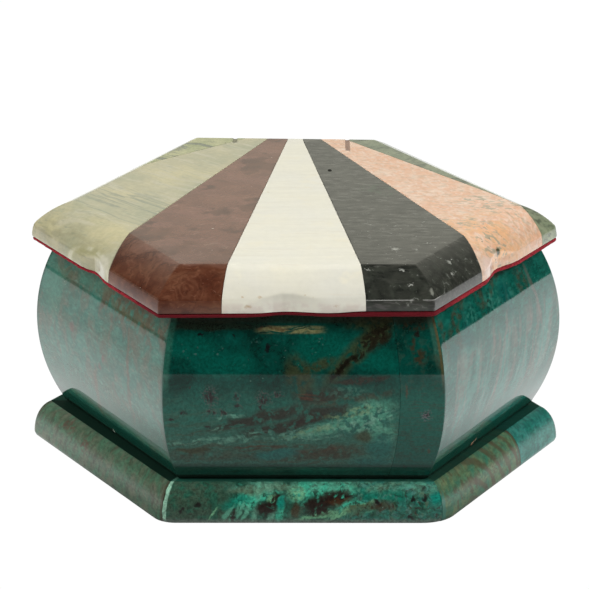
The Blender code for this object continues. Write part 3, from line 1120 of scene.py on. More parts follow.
def black_stone():
    """Black limestone: fine grain, white fossil specks in the front half, one pit near the back."""
    b = Bench("black_stone", roughness=0.12, ior=1.6)
    b.colour = b.ramp(b.noise(3.2, 6), (0.36, (14, 16, 13)), (0.64, (34, 36, 29)))
    _, y, z = b.axes()
    flat = b.step(z, 62.8, 63.3)
    b.veins((5, 1.3, 3, 6), (0.4, 0.66), flat * 0.6 + 0.1, (85, 85, 70))
    b.veins((3, 0.9, -4, 5), (0.52, 0.66), flat * 0.5 + 0.1, (140, 140, 120))
    b.clouds((1.4, 5), (0.52, 0.62), b.spot(24, 12, 7, 6) * 0.7, (50, 85, 50))
    # painted shade: the flat darker towards the front, where it mirrors less
    b.dim(y, -14, -44, flat * 0.3)
    front = b.step(y, 2, -30)
    shape = b.warped(1.0, 1.6)
    b.clouds((2.2, 6), (0.46, 0.64), 0.3 - flat * 0.3, (60, 68, 52))
    b.over(b.specks(2.6, 0.11, 0.35, shape) * front * (flat * 0.45 + 0.15), (330, 340, 300))
    b.lay(y, 20, -30, b.specks(1.3, 0.12, 0.25, shape) * 0.4, (170, 180, 150))
    b.over(b.specks(1.2, 0.16, 0.3, shape) * flat * 0.5, (200, 200, 170))
    worms = b.cells(3.2, b.warped(1.6, 2.6), "DISTANCE_TO_EDGE")
    b.lay(worms, 0.04, 0.015, b.torn(2.2, 3, 0.6, 0.66) * front * (flat * 0.2 + 0.35),
          (360, 370, 330))
    b.flecks(BLACK_SPOTS, 0.7, (0.7, 2.4), 0.7, (450, 460, 410))
    worn = b.patch((33.4, -56.3, 58.2), (0.5, 5.0, 0.35), (20, 0, 28), 0.5, b.warped(1.0, 0.6))
    b.over(worn * 0.6, (300, 310, 260))
    pit = b.patch((9.1, 27.9, 63.3), (0.5, 1.0, 0.9), soft=0.25, where=b.warped(0.8, 0.5))
    b.over(pit, (4, 4, 3))
    b.feed(roughness=pit * 0.6 + b.step(z, BAND_TOP + 0.1, BAND_TOP - 0.3) * 0.25 + 0.12)
    line = b.step((z - BAND_TOP).maths("ABSOLUTE"), 0.16, 0.03) * b.step(y, -52, -54)
    b.clouds((2.5, 3), (0.38, 0.5), line * 0.55, (500, 500, 470))
    b.lay(z, BAND_TOP, BAND_TOP - 0.3, b.step(b.streaks(2.5, 0.6, 0), 0.5, 0.66) * 0.3, (160, 140, 140))
    b.bump(b.streaks(4, 1.2, 3, 6) * flat - pit * 10, 0.03)
    return b


black_stone().finish(stones["lid_black"])

# %% [markdown]
# Granite is made of grains. Voronoi cells give grains with a colour each, and a second,
# finer noise breaks their edges. Grey-green flecks gather in a few places only, so their
# noise is multiplied by soft spots.

# %% Pink granite
def pink_granite():
    """Salmon grains in a peach ground, drawn out a little, with gathered grey-green flecks."""
    b = Bench("pink_granite", roughness=0.15, ior=1.55)
    b.place = b.warped(2.5, 1.4)
    b.colour = b.ramp(b.noise(6, 6), (0.34, (800, 460, 290)), (0.52, (810, 540, 380)),
                      (0.68, (850, 640, 490)))
    b.veins((2.0, 1.9, 4, 5), (0.46, 0.6), 0.7, (780, 440, 280))
    grain = b.drawn(1, 2.2, 1.2, turn=(0, 0, 25))
    b.clouds((1.1, 5), (0.5, 0.64), 0.55, (870, 690, 560), grain)
    b.clouds((0.9, 5), (0.57, 0.68), 0.5, (600, 360, 240), grain)
    b.clouds((5, 4), (0.4, 0.6), b.spot(48, -20, 13, 11, -30, 0.6) * 0.6, (820, 450, 200))
    flecks = b.step(b.streaks(2.6, 1.3, -12, 5), 0.52, 0.6)
    gathered = b.spot(50, -1, 8, 5, -35, 0.6) + b.spot(49, -24, 4, 5, 0, 0.6) + b.spot(42, -17, 6, 4, 0, 0.7)
    b.over((flecks * (gathered + 0.22)).maths("MINIMUM", 0.8), (360, 350, 250))
    b.over(b.specks(1.7, 0.15, 0.3) * (gathered + 0.06), (100, 110, 75))
    b.over(b.patch((50.2, -25.5, 58.9), (0.7, 1.1, 1.3), soft=0.5, where=b.warped(0.7, 1.2)), (70, 75, 40))
    b.over(b.patch((48.0, -32.4, 57.2), (2.6, 3.4, 3.0), soft=0.5) * 0.75, (800, 620, 540))
    slot_stain(b)
    painted_shade_down(b, 0.14, 0.22)
    b.grit(1.2, 0.07)
    b.bump(b.noise(1.2, 5), 0.008)
    return b


pink_granite().finish(stones["lid_pink"])

# %% [markdown]
# ## The walls
#
# The body is cut from a copper ore that is teal where it is pure, aqua where chrysocolla
# runs through it, and brown where iron does. The veins all rise gently to the right, so one
# turn serves all streaks. Named spots then put the big features where they are: a brown
# diagonal vein, an aqua cloud at the lower right, dark eyes at the left.

# %% Front wall
TEAL, DEEP, BRIGHT = (1, 44, 32), (1, 24, 17), (1, 88, 62)
AQUA, OLIVE = (75, 280, 190), (35, 42, 18)
UMBER, RUST = (26, 20, 13), (85, 35, 18)


def teal_ground(b):
    """The ground that all stones of the body share: clouded teal with fine grit."""
    b.colour = b.ramp(b.noise(6, 5), (0.34, DEEP), (0.5, TEAL), (0.68, (1, 62, 46)))
    b.clouds((0.9, 6), (0.58, 0.72), 0.4, (20, 90, 68))
    b.over(b.specks(2.6, 0.08, 0.4) * 0.5, (100, 200, 160))


def wall_bench(name, size, push, slanting=True, roughness=0.05):
    """A bench for a stone of the body, and the height on it; its place is pushed about by noise."""
    b = Bench(name, upright=True, roughness=roughness, ior=1.58)
    if slanting:
        b.place = b.along_side()
    z = b.axes()[2]
    b.place = b.warped(size, push)
    return b, z


def foot_shade_and_grime(b, z):
    """Painted shade making the downward foot darker and greener; a near-black line in the last millimetre
    above the plinth, of grime, glue and painted crevice shade; and a hand polish.
    """
    # painted shade: the foot, which faces down, darker and greener
    b.lay(z, 15.0, 13.6, 0.75, (1, 34, 22))
    # near-black line: grime and glue, with painted shade of the crevice under the rounded foot
    b.lay(z, SEAT + 1.7, SEAT + 1.1, 0.9, (8, 7, 5))
    b.bump(b.noise(1.5, 5), 0.004)


# The dark eyes at the left: x, height and two radii; the first seven have a pale ring
EYES = ((-19.6, 33.3, 1.7, 1.9), (-7.2, 32.7, 1.3, 1.7), (-3.6, 33.5, 1.0, 0.6), (-13.4, 33, 0.6, 0.8),
        (-13.4, 30.7, 0.6, 0.5), (-19.8, 29.1, 1.1, 0.9), (-16.5, 29.1, 1.0, 0.9), (-26.8, 29, 1.3, 0.5),
        (-20.5, 25.5, 0.7, 0.7), (-7.8, 30.2, 0.6, 0.9), (-24.7, 35.3, 0.5, 0.5), (-29, 27.5, 0.9, 0.5))
DOTS = ((-28.5, 48.6, 0.6, 0.5), (-22.4, 47.6, 0.6, 0.3), (-6.0, 44.8, 0.45, 0.9), (-14, 47.7, 0.3, 0.2))


def grown(places, by):
    """The same spots with their radii multiplied."""
    return [(x, h, across * by, up * by) for x, h, across, up in places]


def front_wall():
    """The main slab of the front."""
    b, z = wall_bench("teal_stone_front", 5, 2.6, slanting=False)
    teal_ground(b)
    low = b.step(z, 38, 27)
    b.over(low * 0.85, (20, 130, 95))
    b.lay(z, 28, 20, 0.45, (60, 160, 115))
    b.veins((9, 1.3, 9, 5), (0.5, 0.64), low * 0.4, (50, 90, 58))
    b.clouds((1.2, 6), (0.5, 0.62), low * 0.4, (30, 120, 90))
    b.clouds((0.9, 6), (0.55, 0.66), low * 0.3, (30, 35, 22))
    b.veins((7, 0.8, 7, 5), (0.56, 0.68), b.step(z, 33, 24) * 0.7, (50, 150, 110))
    b.veins((6, 1.0, 12, 5), (0.57, 0.66), b.step(z, 32, 22) * 0.5, (60, 45, 25))
    b.stain(BRIGHT, 0.6, (7, 44.5, 7, 5), (20.5, 42, 4.5, 3), (-16, 41, 7, 3), (-24, 45, 6, 3))
    b.stain(OLIVE, b.torn(2, 5, 0.36, 0.55) * 0.85, (1.6, 37.5, 3.0, 5.5, 20),
            (5.5, 40.5, 5, 1.2, 25))
    b.stain((35, 45, 18), b.torn(1.4, 5, 0.3, 0.5) * 0.8, (14.5, 43.5, 10.5, 2.1, 47),
            (20.5, 48.5, 3.5, 1.8, 30), (19, 50.5, 6, 1.3, 5))
    veined = b.torn(1.6, 5, 0.36, 0.56)
    b.stain((13, 11, 6), veined * 0.95, (16.0, 44.2, 7.5, 1.1, 47), (10.8, 39.5, 3.5, 1.0, 50),
            (21.5, 48.3, 2.4, 1.4, 40), (19, 47, 4, 2.2, 47))
    b.stain((6, 5, 3), 0.8, (13.2, 41.6, 3.2, 0.5, 46), (10.2, 38.6, 2.0, 0.5, 52))
    brown = b.torn(2.2, 5, 0.38, 0.52)
    b.stain(UMBER, brown * 0.9, (-8, 27.6, 12, 1.6, 15), (-4, 24.8, 9, 1.4, 11), (6, 33.5, 6, 1.7, 8),
            (9, 29.2, 9.5, 1.6, 9), (16, 37.2, 6.5, 0.8, 5), (3.7, 27.0, 5, 1.0, 10))
    b.stain((50, 45, 26), brown * 0.7, (14, 32.5, 10, 1.0, 9), (-5, 19.6, 11, 0.7, 3),
            (0, 17, 14, 1.6, 2), (10, 18.3, 7, 2.0, 4))
    b.stain(RUST, b.step(b.streaks(5, 0.5, 4, 5), 0.46, 0.6) * 0.6, (-6, 19.9, 12, 0.7, 2),
            (6, 18.6, 6, 0.9, 3), (4, 33, 3, 1.2))
    b.stain(AQUA, b.torn(2.6, 5, 0.34, 0.5) * 0.95, (18, 28.4, 6, 3.6, 15),
            (10, 25.2, 9, 1.5, 14), (20, 24, 4, 3))
    b.stain((15, 100, 80), b.torn(1.9, 4, 0.48, 0.58) * 0.85, (17, 27.4, 8, 4.5, 12))
    b.stain((200, 420, 310), b.torn(1.5, 4, 0.5, 0.64) * 0.6, (17, 27.4, 7, 3.6, 12),
            (7, 24.5, 5, 1.2, 10))
    b.stain((50, 150, 110), b.torn(1.0, 5, 0.42, 0.58) * 0.6, (13, 34.4, 4, 1.4, 4))
    b.stain((170, 270, 130), b.torn(1.5, 5, 0.42, 0.58) * 0.6, (14, 29.0, 6, 1.2, 14),
            (3, 23.6, 8, 0.8, 14))
    b.stain((120, 300, 220),
            b.step(b.streaks(3.5, 1.0, 6, 4), 0.42, 0.6) * b.torn(1.3, 4, 0.38, 0.56) * 0.9,
            (-20, 21.2, 10, 1.0, 2), (-9, 23.0, 5, 0.8, 6), (3, 22.4, 9, 1.0, 2),
            (-15.5, 28.0, 3, 0.5, 8), (-18.6, 24.2, 1.6, 0.8, 25), (4, 24.6, 8, 0.7, 10), (21, 22, 3, 2))
    b.stain((55, 50, 30), b.torn(2.4, 4, 0.36, 0.58) * 0.65, (-22, 17.2, 8, 1.7, 3))
    b.stain((8, 160, 140), 0.7, (-3.8, 17.4, 5, 1.3, 8))
    b.stain((6, 130, 110), 0.6, (21, 19.5, 3, 3.5), (19, 15, 5, 1.2))
    b.stain((45, 50, 22), 0.85, (16.9, 22.6, 2.0, 1.6), (-24, 18.5, 4, 0.8))
    ragged = b.warped(0.8, 1.3)
    b.stain((100, 85, 80), b.torn(0.5, 3, 0.46, 0.6) * 0.6, *grown(EYES[:7], 1.3), where=ragged)
    b.stain((22, 13, 14), b.step(b.streaks(1.6, 0.5, 88, 3), 0.4, 0.52) * 0.9, *grown(EYES, 0.8),
            where=ragged)
    b.stain((6, 7, 8), 0.95, *DOTS, where=ragged)
    b.stain((60, 110, 100), b.specks(1.1, 0.3, 0.4, ragged) * 0.5, (6.2, 44.6, 1.6, 3.0), (-12, 44, 18, 2.6))
    yellow = b.step(z, 47.9, 48.5) * b.spot(-0.5, 49, 7.5, 3, 0, 0.3)
    b.lay(z, 50.1, 49.5, yellow * b.step(b.streaks(5, 0.5, 3, 5), 0.36, 0.56) * 0.9, (200, 195, 85))
    b.stain((100, 50, 24), 0.6, (-8.0, 49.0, 0.7, 0.5), (-4, 49.3, 2.4, 0.4), where=ragged)
    b.stain((20, 22, 12), 0.7, (-20, 49.6, 12, 1.0))
    # painted shadow of the lid along the top of the wall
    b.lay(z, 50.0, 50.9, 0.5, (30, 28, 16))
    b.lay(b.field("along"), 1.9, 0.9, b.step(z, 33, 37) * 0.55, (30, 130, 90))
    b.grit(0.7, 0.3)
    foot_shade_and_grime(b, z)
    return b


front_wall().finish(walls["wall_front_main"])

# %% [markdown]
# The narrow slab at the right is the same ore, sawn from another place. It repeats the layers
# of the front wall with fewer spots, and its edges use the distance to the joint that the
# mesh carries: an aqua sliver runs along the corner.

# %% Front strip
def front_strip():
    """The narrow slab at the right of the front: plainer teal, with an aqua sliver along its corner."""
    b, z = wall_bench("teal_stone_strip", 4, 1.6, slanting=False)
    teal_ground(b)
    b.lay(z, 39, 30, 0.85, (14, 115, 85))
    b.clouds((1.5, 6), (0.5, 0.64), 0.4, (30, 50, 34))
    b.veins((7, 0.25, 2, 4), (0.55, 0.66), b.step(z, 38, 30) * 0.5, (50, 35, 22))
    b.stain(BRIGHT, 0.1, (28, 46, 2, 3), (33, 44.5, 2.5, 3.5))
    b.stain((35, 26, 13), b.torn(1.4, 4, 0.4, 0.55) * 0.85, (30, 42.8, 1.7, 1.6),
            (29, 50, 4, 1.0), (34.5, 43, 1.0, 2.6), (28.4, 45.5, 0.5, 2.0))
    ragged = b.warped(0.8, 1.2)
    b.stain((12, 9, 7), 0.95, (29.2, 48.1, 0.55, 0.8), (31.6, 28.3, 0.6, 0.7), (26.6, 13.6, 0.35, 0.5),
            where=ragged)
    b.stain((150, 160, 170), b.torn(0.5, 3, 0.45, 0.6) * 0.7, (31.6, 28.3, 1.3, 1.5), where=ragged)
    b.stain((80, 50, 30), 0.6, (26.9, 34.5, 0.3, 1.6), (32.4, 18.5, 0.4, 0.6), where=ragged)
    edge = b.field("joint")
    top = b.step(z, 37, 46)
    b.lay(edge, 2.2, 1.5, top * 0.6, (35, 120, 85))
    b.lay(edge, 0.9, 0.5, b.step(edge, 0.0, 0.2) * b.step(z, 33, 42) * 0.8, (100, 75, 30))
    # painted shadow of the lid along the top of the wall
    b.lay(z, 50.0, 50.9, 0.5, (30, 28, 16))
    b.grit(0.6, 0.2)
    foot_shade_and_grime(b, z)
    return b


front_strip().finish(walls["wall_front_strip"])

# %% [markdown]
# On the slanting sides a pattern in x and y would be squeezed. Their coordinates are taken
# from a number that the mesh carries, the distance along the side, together with the height.

# %% Side walls
def left_wall():
    """Pale grey-green, with rusty mottling and a few thin rust lines."""
    b, z = wall_bench("green_stone_left", 5, 3)
    b.ground((7, 6), (25, 120, 90), (35, 110, 80), (60, 100, 68))
    drawn = b.drawn(2.2, 1, 1)
    b.clouds((5, 3), (0.44, 0.62), 0.6, (50, 170, 130), drawn)
    b.veins((9, 4.5, 100, 2), (0.5, 0.64), 0.45, (110, 90, 65))
    b.clouds((1.6, 5), (0.52, 0.66), 0.35, (120, 100, 75), drawn)
    b.clouds((1.2, 5), (0.54, 0.68), 0.45, (80, 210, 160), drawn)
    b.clouds((0.9, 5), (0.56, 0.68), 0.4, (30, 80, 55), drawn)
    b.lay(z, 41, 46, b.step(b.field("along"), 20, 38) * b.torn(4, 4, 0.42, 0.58) * 0.8, (85, 62, 42))
    b.stain((75, 70, 38), b.torn(2, 5, 0.4, 0.55) * 0.6, (42, 50, 14, 4), (50, 47, 10, 2),
            (12, 48, 6, 2))
    b.stain((45, 170, 120), 0.5, (24, 50, 9, 2), (8, 42, 5, 6))
    b.lay(z, 26, 18, 0.6, (8, 85, 55))
    ragged = b.warped(1.0, 1.4)
    b.stain((140, 50, 45), 0.45, (20, 36, 1.0, 1.2), (35, 30.5, 1.1, 1.0), (37, 33, 0.7, 0.9), where=ragged)
    b.stain((110, 70, 45), 0.5, (50, 33, 0.7, 12, 4), (31, 22, 0.9, 8, -12), where=b.warped(3, 2.5))
    b.over(b.specks(2.0, 0.07, 0.3) * 0.5, (250, 330, 290))
    b.lay(b.field("joint"), 1.3, 0.3, 0.75, (6, 60, 40))
    # painted shadow of the lid along the top of the wall
    b.lay(z, 51.3, 52.3, 0.6, (20, 22, 14))
    b.grit(0.8, 0.2, drawn)
    foot_shade_and_grime(b, z)
    b.stain((300, 360, 300), 0.8, (31.1, 10.7, 0.5, 0.35), where=b.warped(0.6, 0.6))
    return b


def right_wall():
    """Green-teal with near-upright streaks of aqua, rust and pink."""
    b, z = wall_bench("green_stone_right", 6, 2.2)
    b.ground((6, 5), (1, 50, 37), (1, 68, 48), (4, 92, 66))
    low = b.step(z, 45, 38)
    b.over(low * 0.6, (35, 110, 90))
    drawn = b.drawn(2.2, 1, 1)
    b.veins((20, 5.5, 70, 2), (0.44, 0.6), low * 0.5 + 0.05, (75, 210, 175))
    b.veins((24, 4.5, 74, 2), (0.5, 0.62), low * 0.45, (140, 110, 90))
    b.veins((20, 2.4, 78, 2), (0.56, 0.66), low * 0.3, (190, 120, 100))
    b.clouds((1.6, 5), (0.5, 0.64), 0.4, (12, 130, 100), drawn)
    b.clouds((1.1, 5), (0.55, 0.68), low * 0.35, (140, 190, 160), drawn)
    b.lay(z, 26, 18, 0.6, (2, 80, 58))
    b.stain((170, 100, 85), 0.35, (30.5, 33, 0.8, 15, -26), (52, 42, 0.8, 9, 8), (46, 25, 0.8, 10, -20),
            where=b.warped(6, 3))
    b.stain((45, 40, 22), b.torn(2.2, 4, 0.4, 0.6) * 0.65, (9, 45, 1.6, 5, -14),
            (2.5, 47, 1.4, 6, 4), (24, 50, 2, 4, 10), (47, 48, 3, 3), (12, 50, 8, 1.6, 30),
            (34, 52, 9, 1.2, 25), where=b.warped(2, 2))
    b.stain((45, 200, 150), b.torn(1.6, 5, 0.44, 0.6) * 0.5, (30, 48, 4, 3), (17, 47, 3, 3),
            (38, 46, 4, 2))
    b.stain((1, 70, 60), 0.6, (37, 46.5, 3, 4), (6, 42, 3, 2), (14, 44, 3, 3))
    b.over(b.specks(2.2, 0.09, 0.35), (30, 30, 20))
    b.over(b.specks(1.8, 0.07, 0.3) * 0.5, (250, 360, 320))
    # painted shadow of the lid along the top of the wall
    b.lay(z, 51.3, 52.3, 0.6, (12, 16, 10))
    b.grit(0.8, 0.2, drawn)
    foot_shade_and_grime(b, z)
    b.stain((500, 270, 170), 0.85, (25.6, 11.1, 0.9, 0.45, 20), (27.0, 11.5, 0.4, 0.3),
            where=b.warped(0.8, 1.0))
    return b


def rear_wall(name, turn):
    """The hidden sides: the same ore, quieter."""
    b, z = wall_bench(name, 6, 3, roughness=0.07)
    teal_ground(b)
    b.veins((12, 2.0, turn, 5), (0.5, 0.64), 0.6, (30, 100, 75))
    b.veins((9, 1.0, turn + 4, 5), (0.56, 0.66), 0.7, (50, 35, 20))
    b.veins((8, 0.8, turn - 5, 5), (0.6, 0.7), 0.6, AQUA)
    b.grit(0.7, 0.35)
    foot_shade_and_grime(b, z)
    return b


left_wall().finish(walls["wall_front_left"])
right_wall().finish(walls["wall_front_right"])
for place, turn in (("rear_right", 12), ("rear", 8), ("rear_left", 75)):
    rear_wall("teal_stone_" + place, turn).finish(walls["wall_" + place])

# %% [markdown]
# ## The plinth strips
#
# The plinth has more of everything: malachite bands, aqua clouds, umber islands. Its polish
# is older and duller, so the mirror image of the table is only a soft sheen. The flat ledge
# that carries the walls is matt, with painted shade, blackest where the wall stands and on the left.

# %% Front strip of the plinth
DULL = 0.28  # roughness of the plinth's worn polish
LEDGE = PLINTH_TOP - LEDGE_DROP
# How far in the wall stands
GROOVE = APOTHEM - outward(body_corners, 0) @ body_corners[0] * barrel(SEAT + FOOT_ARRIS)


def matt_shaded_ledge(b, groove_shade):
    """The ledge matt, with painted shade: dark green, and blackest where the wall stands."""
    z = b.axes(b.object_place)[2]
    ledge = b.step(z, LEDGE - 0.05, LEDGE)
    # painted shade: dark green over the ledge, near black in the groove where the wall stands
    b.lay(b.field("inset"), GROOVE - 3.0, GROOVE - 2.0, ledge * 0.8, (12, 80, 55))
    b.lay(b.field("inset"), GROOVE - 2.8, GROOVE - 0.8, ledge * groove_shade, (1, 7, 4))
    b.feed(roughness=ledge * (0.95 - DULL) + DULL)


def plinth_front():
    """Dark fine-grained green at the left, a fan of malachite, umber islands, mottled teal at the right."""
    b = Bench("plinth_stone_front", upright=True, ior=1.5)
    x = b.axes()[0]
    b.place = b.warped(3.5, 2.4)
    b.ground((3, 6), (12, 60, 38), (25, 85, 56), (50, 110, 75))
    left = b.step(x, -13, -19)
    right = b.step(x, 8, 16)
    b.over(left * 0.8, (40, 75, 48))
    b.clouds((3.5, 5), (0.5, 0.62), left * 0.65, (12, 100, 62))
    b.clouds((1.0, 5), (0.54, 0.64), left * 0.45, (15, 100, 66))
    b.clouds((0.9, 4), (0.56, 0.66), left * 0.5, (30, 26, 18))
    b.clouds((2.2, 5), (0.42, 0.58), right * 0.75, (25, 170, 130))
    b.clouds((1.0, 6), (0.5, 0.62), (1 - left) * 0.45, (30, 210, 145))
    b.clouds((2.8, 5), (0.54, 0.64), right * 0.5, (100, 130, 80))
    b.lay(b.cells(1.8, b.warped(1.0, 1.0)), 0.42, 0.2, right * 0.55, (70, 200, 170))
    b.clouds((0.9, 5), (0.57, 0.66), right * 0.75, (35, 20, 16))
    b.stain((45, 360, 235), b.torn(1.4, 5, 0.36, 0.5) * 0.95, (-11, 5.4, 3.5, 1.8, 8),
            (-8.5, 6.6, 4.5, 1.0, 8), (2, 7.5, 2.2, 2.4), (6.5, 8.2, 3.6, 1.6), (12, 7.6, 3, 2.2),
            (-3.6, 3.2, 1.2, 3.4), (15, 4, 4, 1.6))
    b.stain((4, 150, 100), b.torn(1.5, 5, 0.34, 0.5) * 0.85, (-14, 5.0, 3.6, 1.4, 20),
            (-5.5, 7.4, 1.2, 2.4, 10), (24, 6.5, 3, 1.2), (18, 7, 3, 1.2, -10))
    b.stain((100, 340, 230), 0.85, (-16.0, 2.6, 0.5, 2.2, -35), (-14.5, 2.4, 0.5, 2.4, -30),
            (-13.0, 2.8, 0.5, 2.5, -28), (-11.4, 2.8, 0.45, 2.2, -22), (-8.4, 7.4, 0.7, 1.9))
    b.stain((140, 360, 200), b.torn(0.9, 5, 0.36, 0.5) * 0.95, (0.8, 7.4, 1.9, 1.6),
            (-5.2, 6.0, 1.0, 1.2, 40), (8, 2.4, 7, 0.7, 10), (14, 3.5, 6, 0.5, 22),
            (-19.2, 2.6, 2.0, 0.3, 58))
    b.stain((110, 300, 210), 0.85, (-9.5, 2.2, 0.8, 2.2, -20), (-5.6, 1.8, 0.7, 1.7, -10),
            (-6, 8.1, 0.9, 1.2))
    ragged = b.warped(1.6, 2.2)
    b.stain((20, 11, 9), b.torn(1.2, 5, 0.34, 0.46) * 0.97, (-6.4, 3.8, 2.8, 1.7, 10),
            (-4.6, 5.8, 1.8, 1.0, 50), (6.6, 5.2, 5.2, 1.5, 6), (11.0, 6.6, 4.2, 1.5),
            (6.0, 3.2, 3.0, 1.0), (-14.4, 2.2, 0.8, 1.8), where=ragged)
    b.stain((60, 28, 12), 0.7, (11, 5.4, 2.4, 0.9), (0.6, 3.6, 1.2, 1.5), (16, 3.6, 3, 1.2, 10),
            (21, 4.6, 3, 1.2), where=ragged)
    b.stain((12, 10, 10), 0.95, (20, 5.4, 1.0, 0.5, -35), (31.6, 6.2, 0.6, 0.6),
            (30.8, 8.2, 1.6, 0.5, -20), (28.6, 1.9, 0.7, 0.6), (-23.3, 4.8, 0.8, 0.7),
            (-27.1, 3.6, 0.5, 0.5), (29, 5.6, 0.5, 0.5), where=ragged)
    b.stain((4, 190, 140), 0.9, (34.4, 6.0, 1.3, 1.4, 20), (-3.0, 5.0, 0.9, 1.6, -15),
            where=b.warped(1.5, 0.8))
    b.stain((120, 130, 75), 0.4, (-3.5, 8.6, 3.2, 0.7), (-10, 7.8, 5, 0.8))
    b.over(b.specks(1.5, 0.1, 0.3), (170, 240, 200))
    edge = b.field("along") + b.noise(2.6, 2) * 0.9
    sliver = b.step(edge, 1.75, 1.45) * b.step(edge, 0.55, 0.75)
    b.over(sliver * 0.95, (260, 480, 350))
    b.lay(edge, 0.8, 0.6, 0.85, (45, 40, 26))
    z = b.axes(b.object_place)[2]
    b.lay(z, 6.6, 8.6, b.step(x, -17, -10) * b.torn(2, 5, 0.36, 0.6) * 0.45, (120, 320, 220))
    # painted reflection of the white table on the rounding at the bottom
    b.lay(z, 1.6, 0.3, 0.6, (250, 300, 260))
    b.grit(0.7, 0.4)
    matt_shaded_ledge(b, 0.2)
    b.bump(b.noise(1.0, 5), 0.01)
    return b


plinth_front().finish(strips["plinth_front"])

# %% [markdown]
# The side strips are mottled all over, with no feature that needs a place of its own. One
# function mixes three colours, and each strip then gets its few extra marks: a stain, the
# bands of a malachite eye, a dark joint.

# %% Side strips of the plinth
def plinth_side(name, colours, streak, turn, dark):
    """A mottled strip: clouds in three colours, streaks across it, dark grains."""
    b = Bench("plinth_stone_" + name, upright=True, ior=1.5)
    b.place = b.along_side()
    b.place = b.warped(3.0, 2.0)
    b.colour = b.ramp(b.noise(3.2, 6), (0.36, colours[0]), (0.5, colours[1]), (0.64, colours[2]))
    drawn = b.drawn(2, 1, 1)
    b.veins((6, 3, turn, 3), (0.46, 0.62), 0.7, streak)
    b.veins((4, 1.8, turn + 12, 4), (0.52, 0.64), 0.65, dark)
    b.clouds((1.2, 6), (0.52, 0.64), 0.5, colours[0], drawn)
    b.clouds((0.8, 5), (0.58, 0.68), 0.5, colours[2], drawn)
    b.grit(0.7, 0.3, drawn)
    return b


left = plinth_side("left", ((45, 110, 66), (70, 105, 64), (100, 115, 78)), (50, 145, 85), 70, (40, 42, 26))
left.stain((90, 40, 30), left.torn(1.2, 4, 0.42, 0.56) * 0.7, (16, 7.5, 3, 1.5), (26, 6, 2, 2))
left.lay(left.field("joint"), 1.2, 0.5, left.step(left.field("along"), 50, 60) * 0.6, (50, 30, 20))
near = plinth_side("right_near", ((30, 140, 85), (55, 135, 75), (110, 150, 75)),
                   (100, 170, 80), 100, (70, 50, 24))
bands = near.reach((14, 0, -4), (1, 99, 1)) * 1.5
near.lay(bands.maths("SINE", bands), 0.0, 0.9, near.step(near.field("along"), 6, 18) * 0.7, (75, 50, 25))
seam_at = butt * side_length
near.lay(near.field("along"), seam_at - 1.4, seam_at - 0.5, 0.7, (50, 35, 18))
edge = near.field("along") + near.noise(1.6) * 1.4
near.lay(edge, 2.3, 1.9, near.step(near.axes()[2], 8, 6) * 0.8, (40, 170, 130))
far = plinth_side("right_far", ((8, 115, 85), (12, 145, 115), (35, 180, 145)),
                  (30, 190, 160), 60, (8, 85, 75))
benches = {"front_left": left, "front_right_near": near, "front_right_far": far}
for place, turn in (("rear_right", 80), ("rear", 20), ("rear_left", 110)):
    benches[place] = plinth_side(place, ((20, 80, 50), (35, 110, 75), (70, 130, 90)),
                                 (50, 200, 140), turn, (30, 20, 12))
for place, bench in benches.items():
    # painted shade on the ledges, darkest on the left strip
    matt_shaded_ledge(bench, 0.85 if bench is left else 0.5)
    bench.bump(bench.noise(1.0, 5), 0.01)
    bench.finish(strips["plinth_" + place])

# %% [markdown]
# ## Floor and felt
#
# The floor is honed, not polished, so it is rough and quiet. The felt is all short crossed
# fibres: two stretched noises across each other make its nap, and a strong bump keeps any
# gloss away. White lint sticks to it here and there.

# %% Floor slab and felt
def honed_floor():
    """A plain grey-green slab with saw marks."""
    b = Bench("floor_stone", roughness=0.4, ior=1.5)
    b.colour = b.ramp(b.noise(8, 6), (0.35, (50, 85, 65)), (0.65, (110, 150, 120)))
    b.veins((20, 0.8, 25, 4), (0.56, 0.66), 0.5, (30, 50, 35))
    b.shade(b.noise(0.6, 4) * 0.6 + 0.7)
    b.bump(b.streaks(40, 0.5, 0), 0.02)
    return b


def red_felt():
    """Crimson wool, with painted shade darkening it at the front."""
    b = Bench("red_felt", roughness=0.95, ior=1.3)
    fibres = (b.streaks(1.6, 0.3, 30, 3) + b.streaks(1.6, 0.3, -50, 3)) * 0.5
    b.colour = b.ramp(fibres, (0.35, (100, 4, 10)), (0.5, (230, 15, 22)), (0.65, (350, 32, 42)))
    # painted shade: the felt darker at the front
    b.lay(b.axes()[1], -44, -54, 0.8, (90, 6, 10))
    b.over(b.specks(3.2, 0.07, 0.35, b.warped(0.8, 1.5)), (600, 500, 500))
    b.bump(fibres, 0.12)
    return b


honed_floor().finish(floor_slab)
red_felt().finish(felt)

# %% [markdown]
# ## Table, light and camera
#
# Polished stone shows its surroundings, so the light is set by what the faces mirror. The
# box stands on a white table that ends not far in front of it: the walls mirror the table
# below its edge and the dark room above. The backdrop is white to the camera.

# %% Table
TABLE_FRONT, TABLE_SIDES, TABLE_BACK = -0.52, 1.35, 2.2
GLOW_EDGE, GLOW_FADE = (38, 80), (90, 240)  # how far to a side the glow grows, and then changes
GLOWS = {1: (1.07, 0.19), -1: (0.95, -0.44)}  # by how much it does so at the right and at the left
SHEEN = 0.17  # the glow of the sheet everywhere


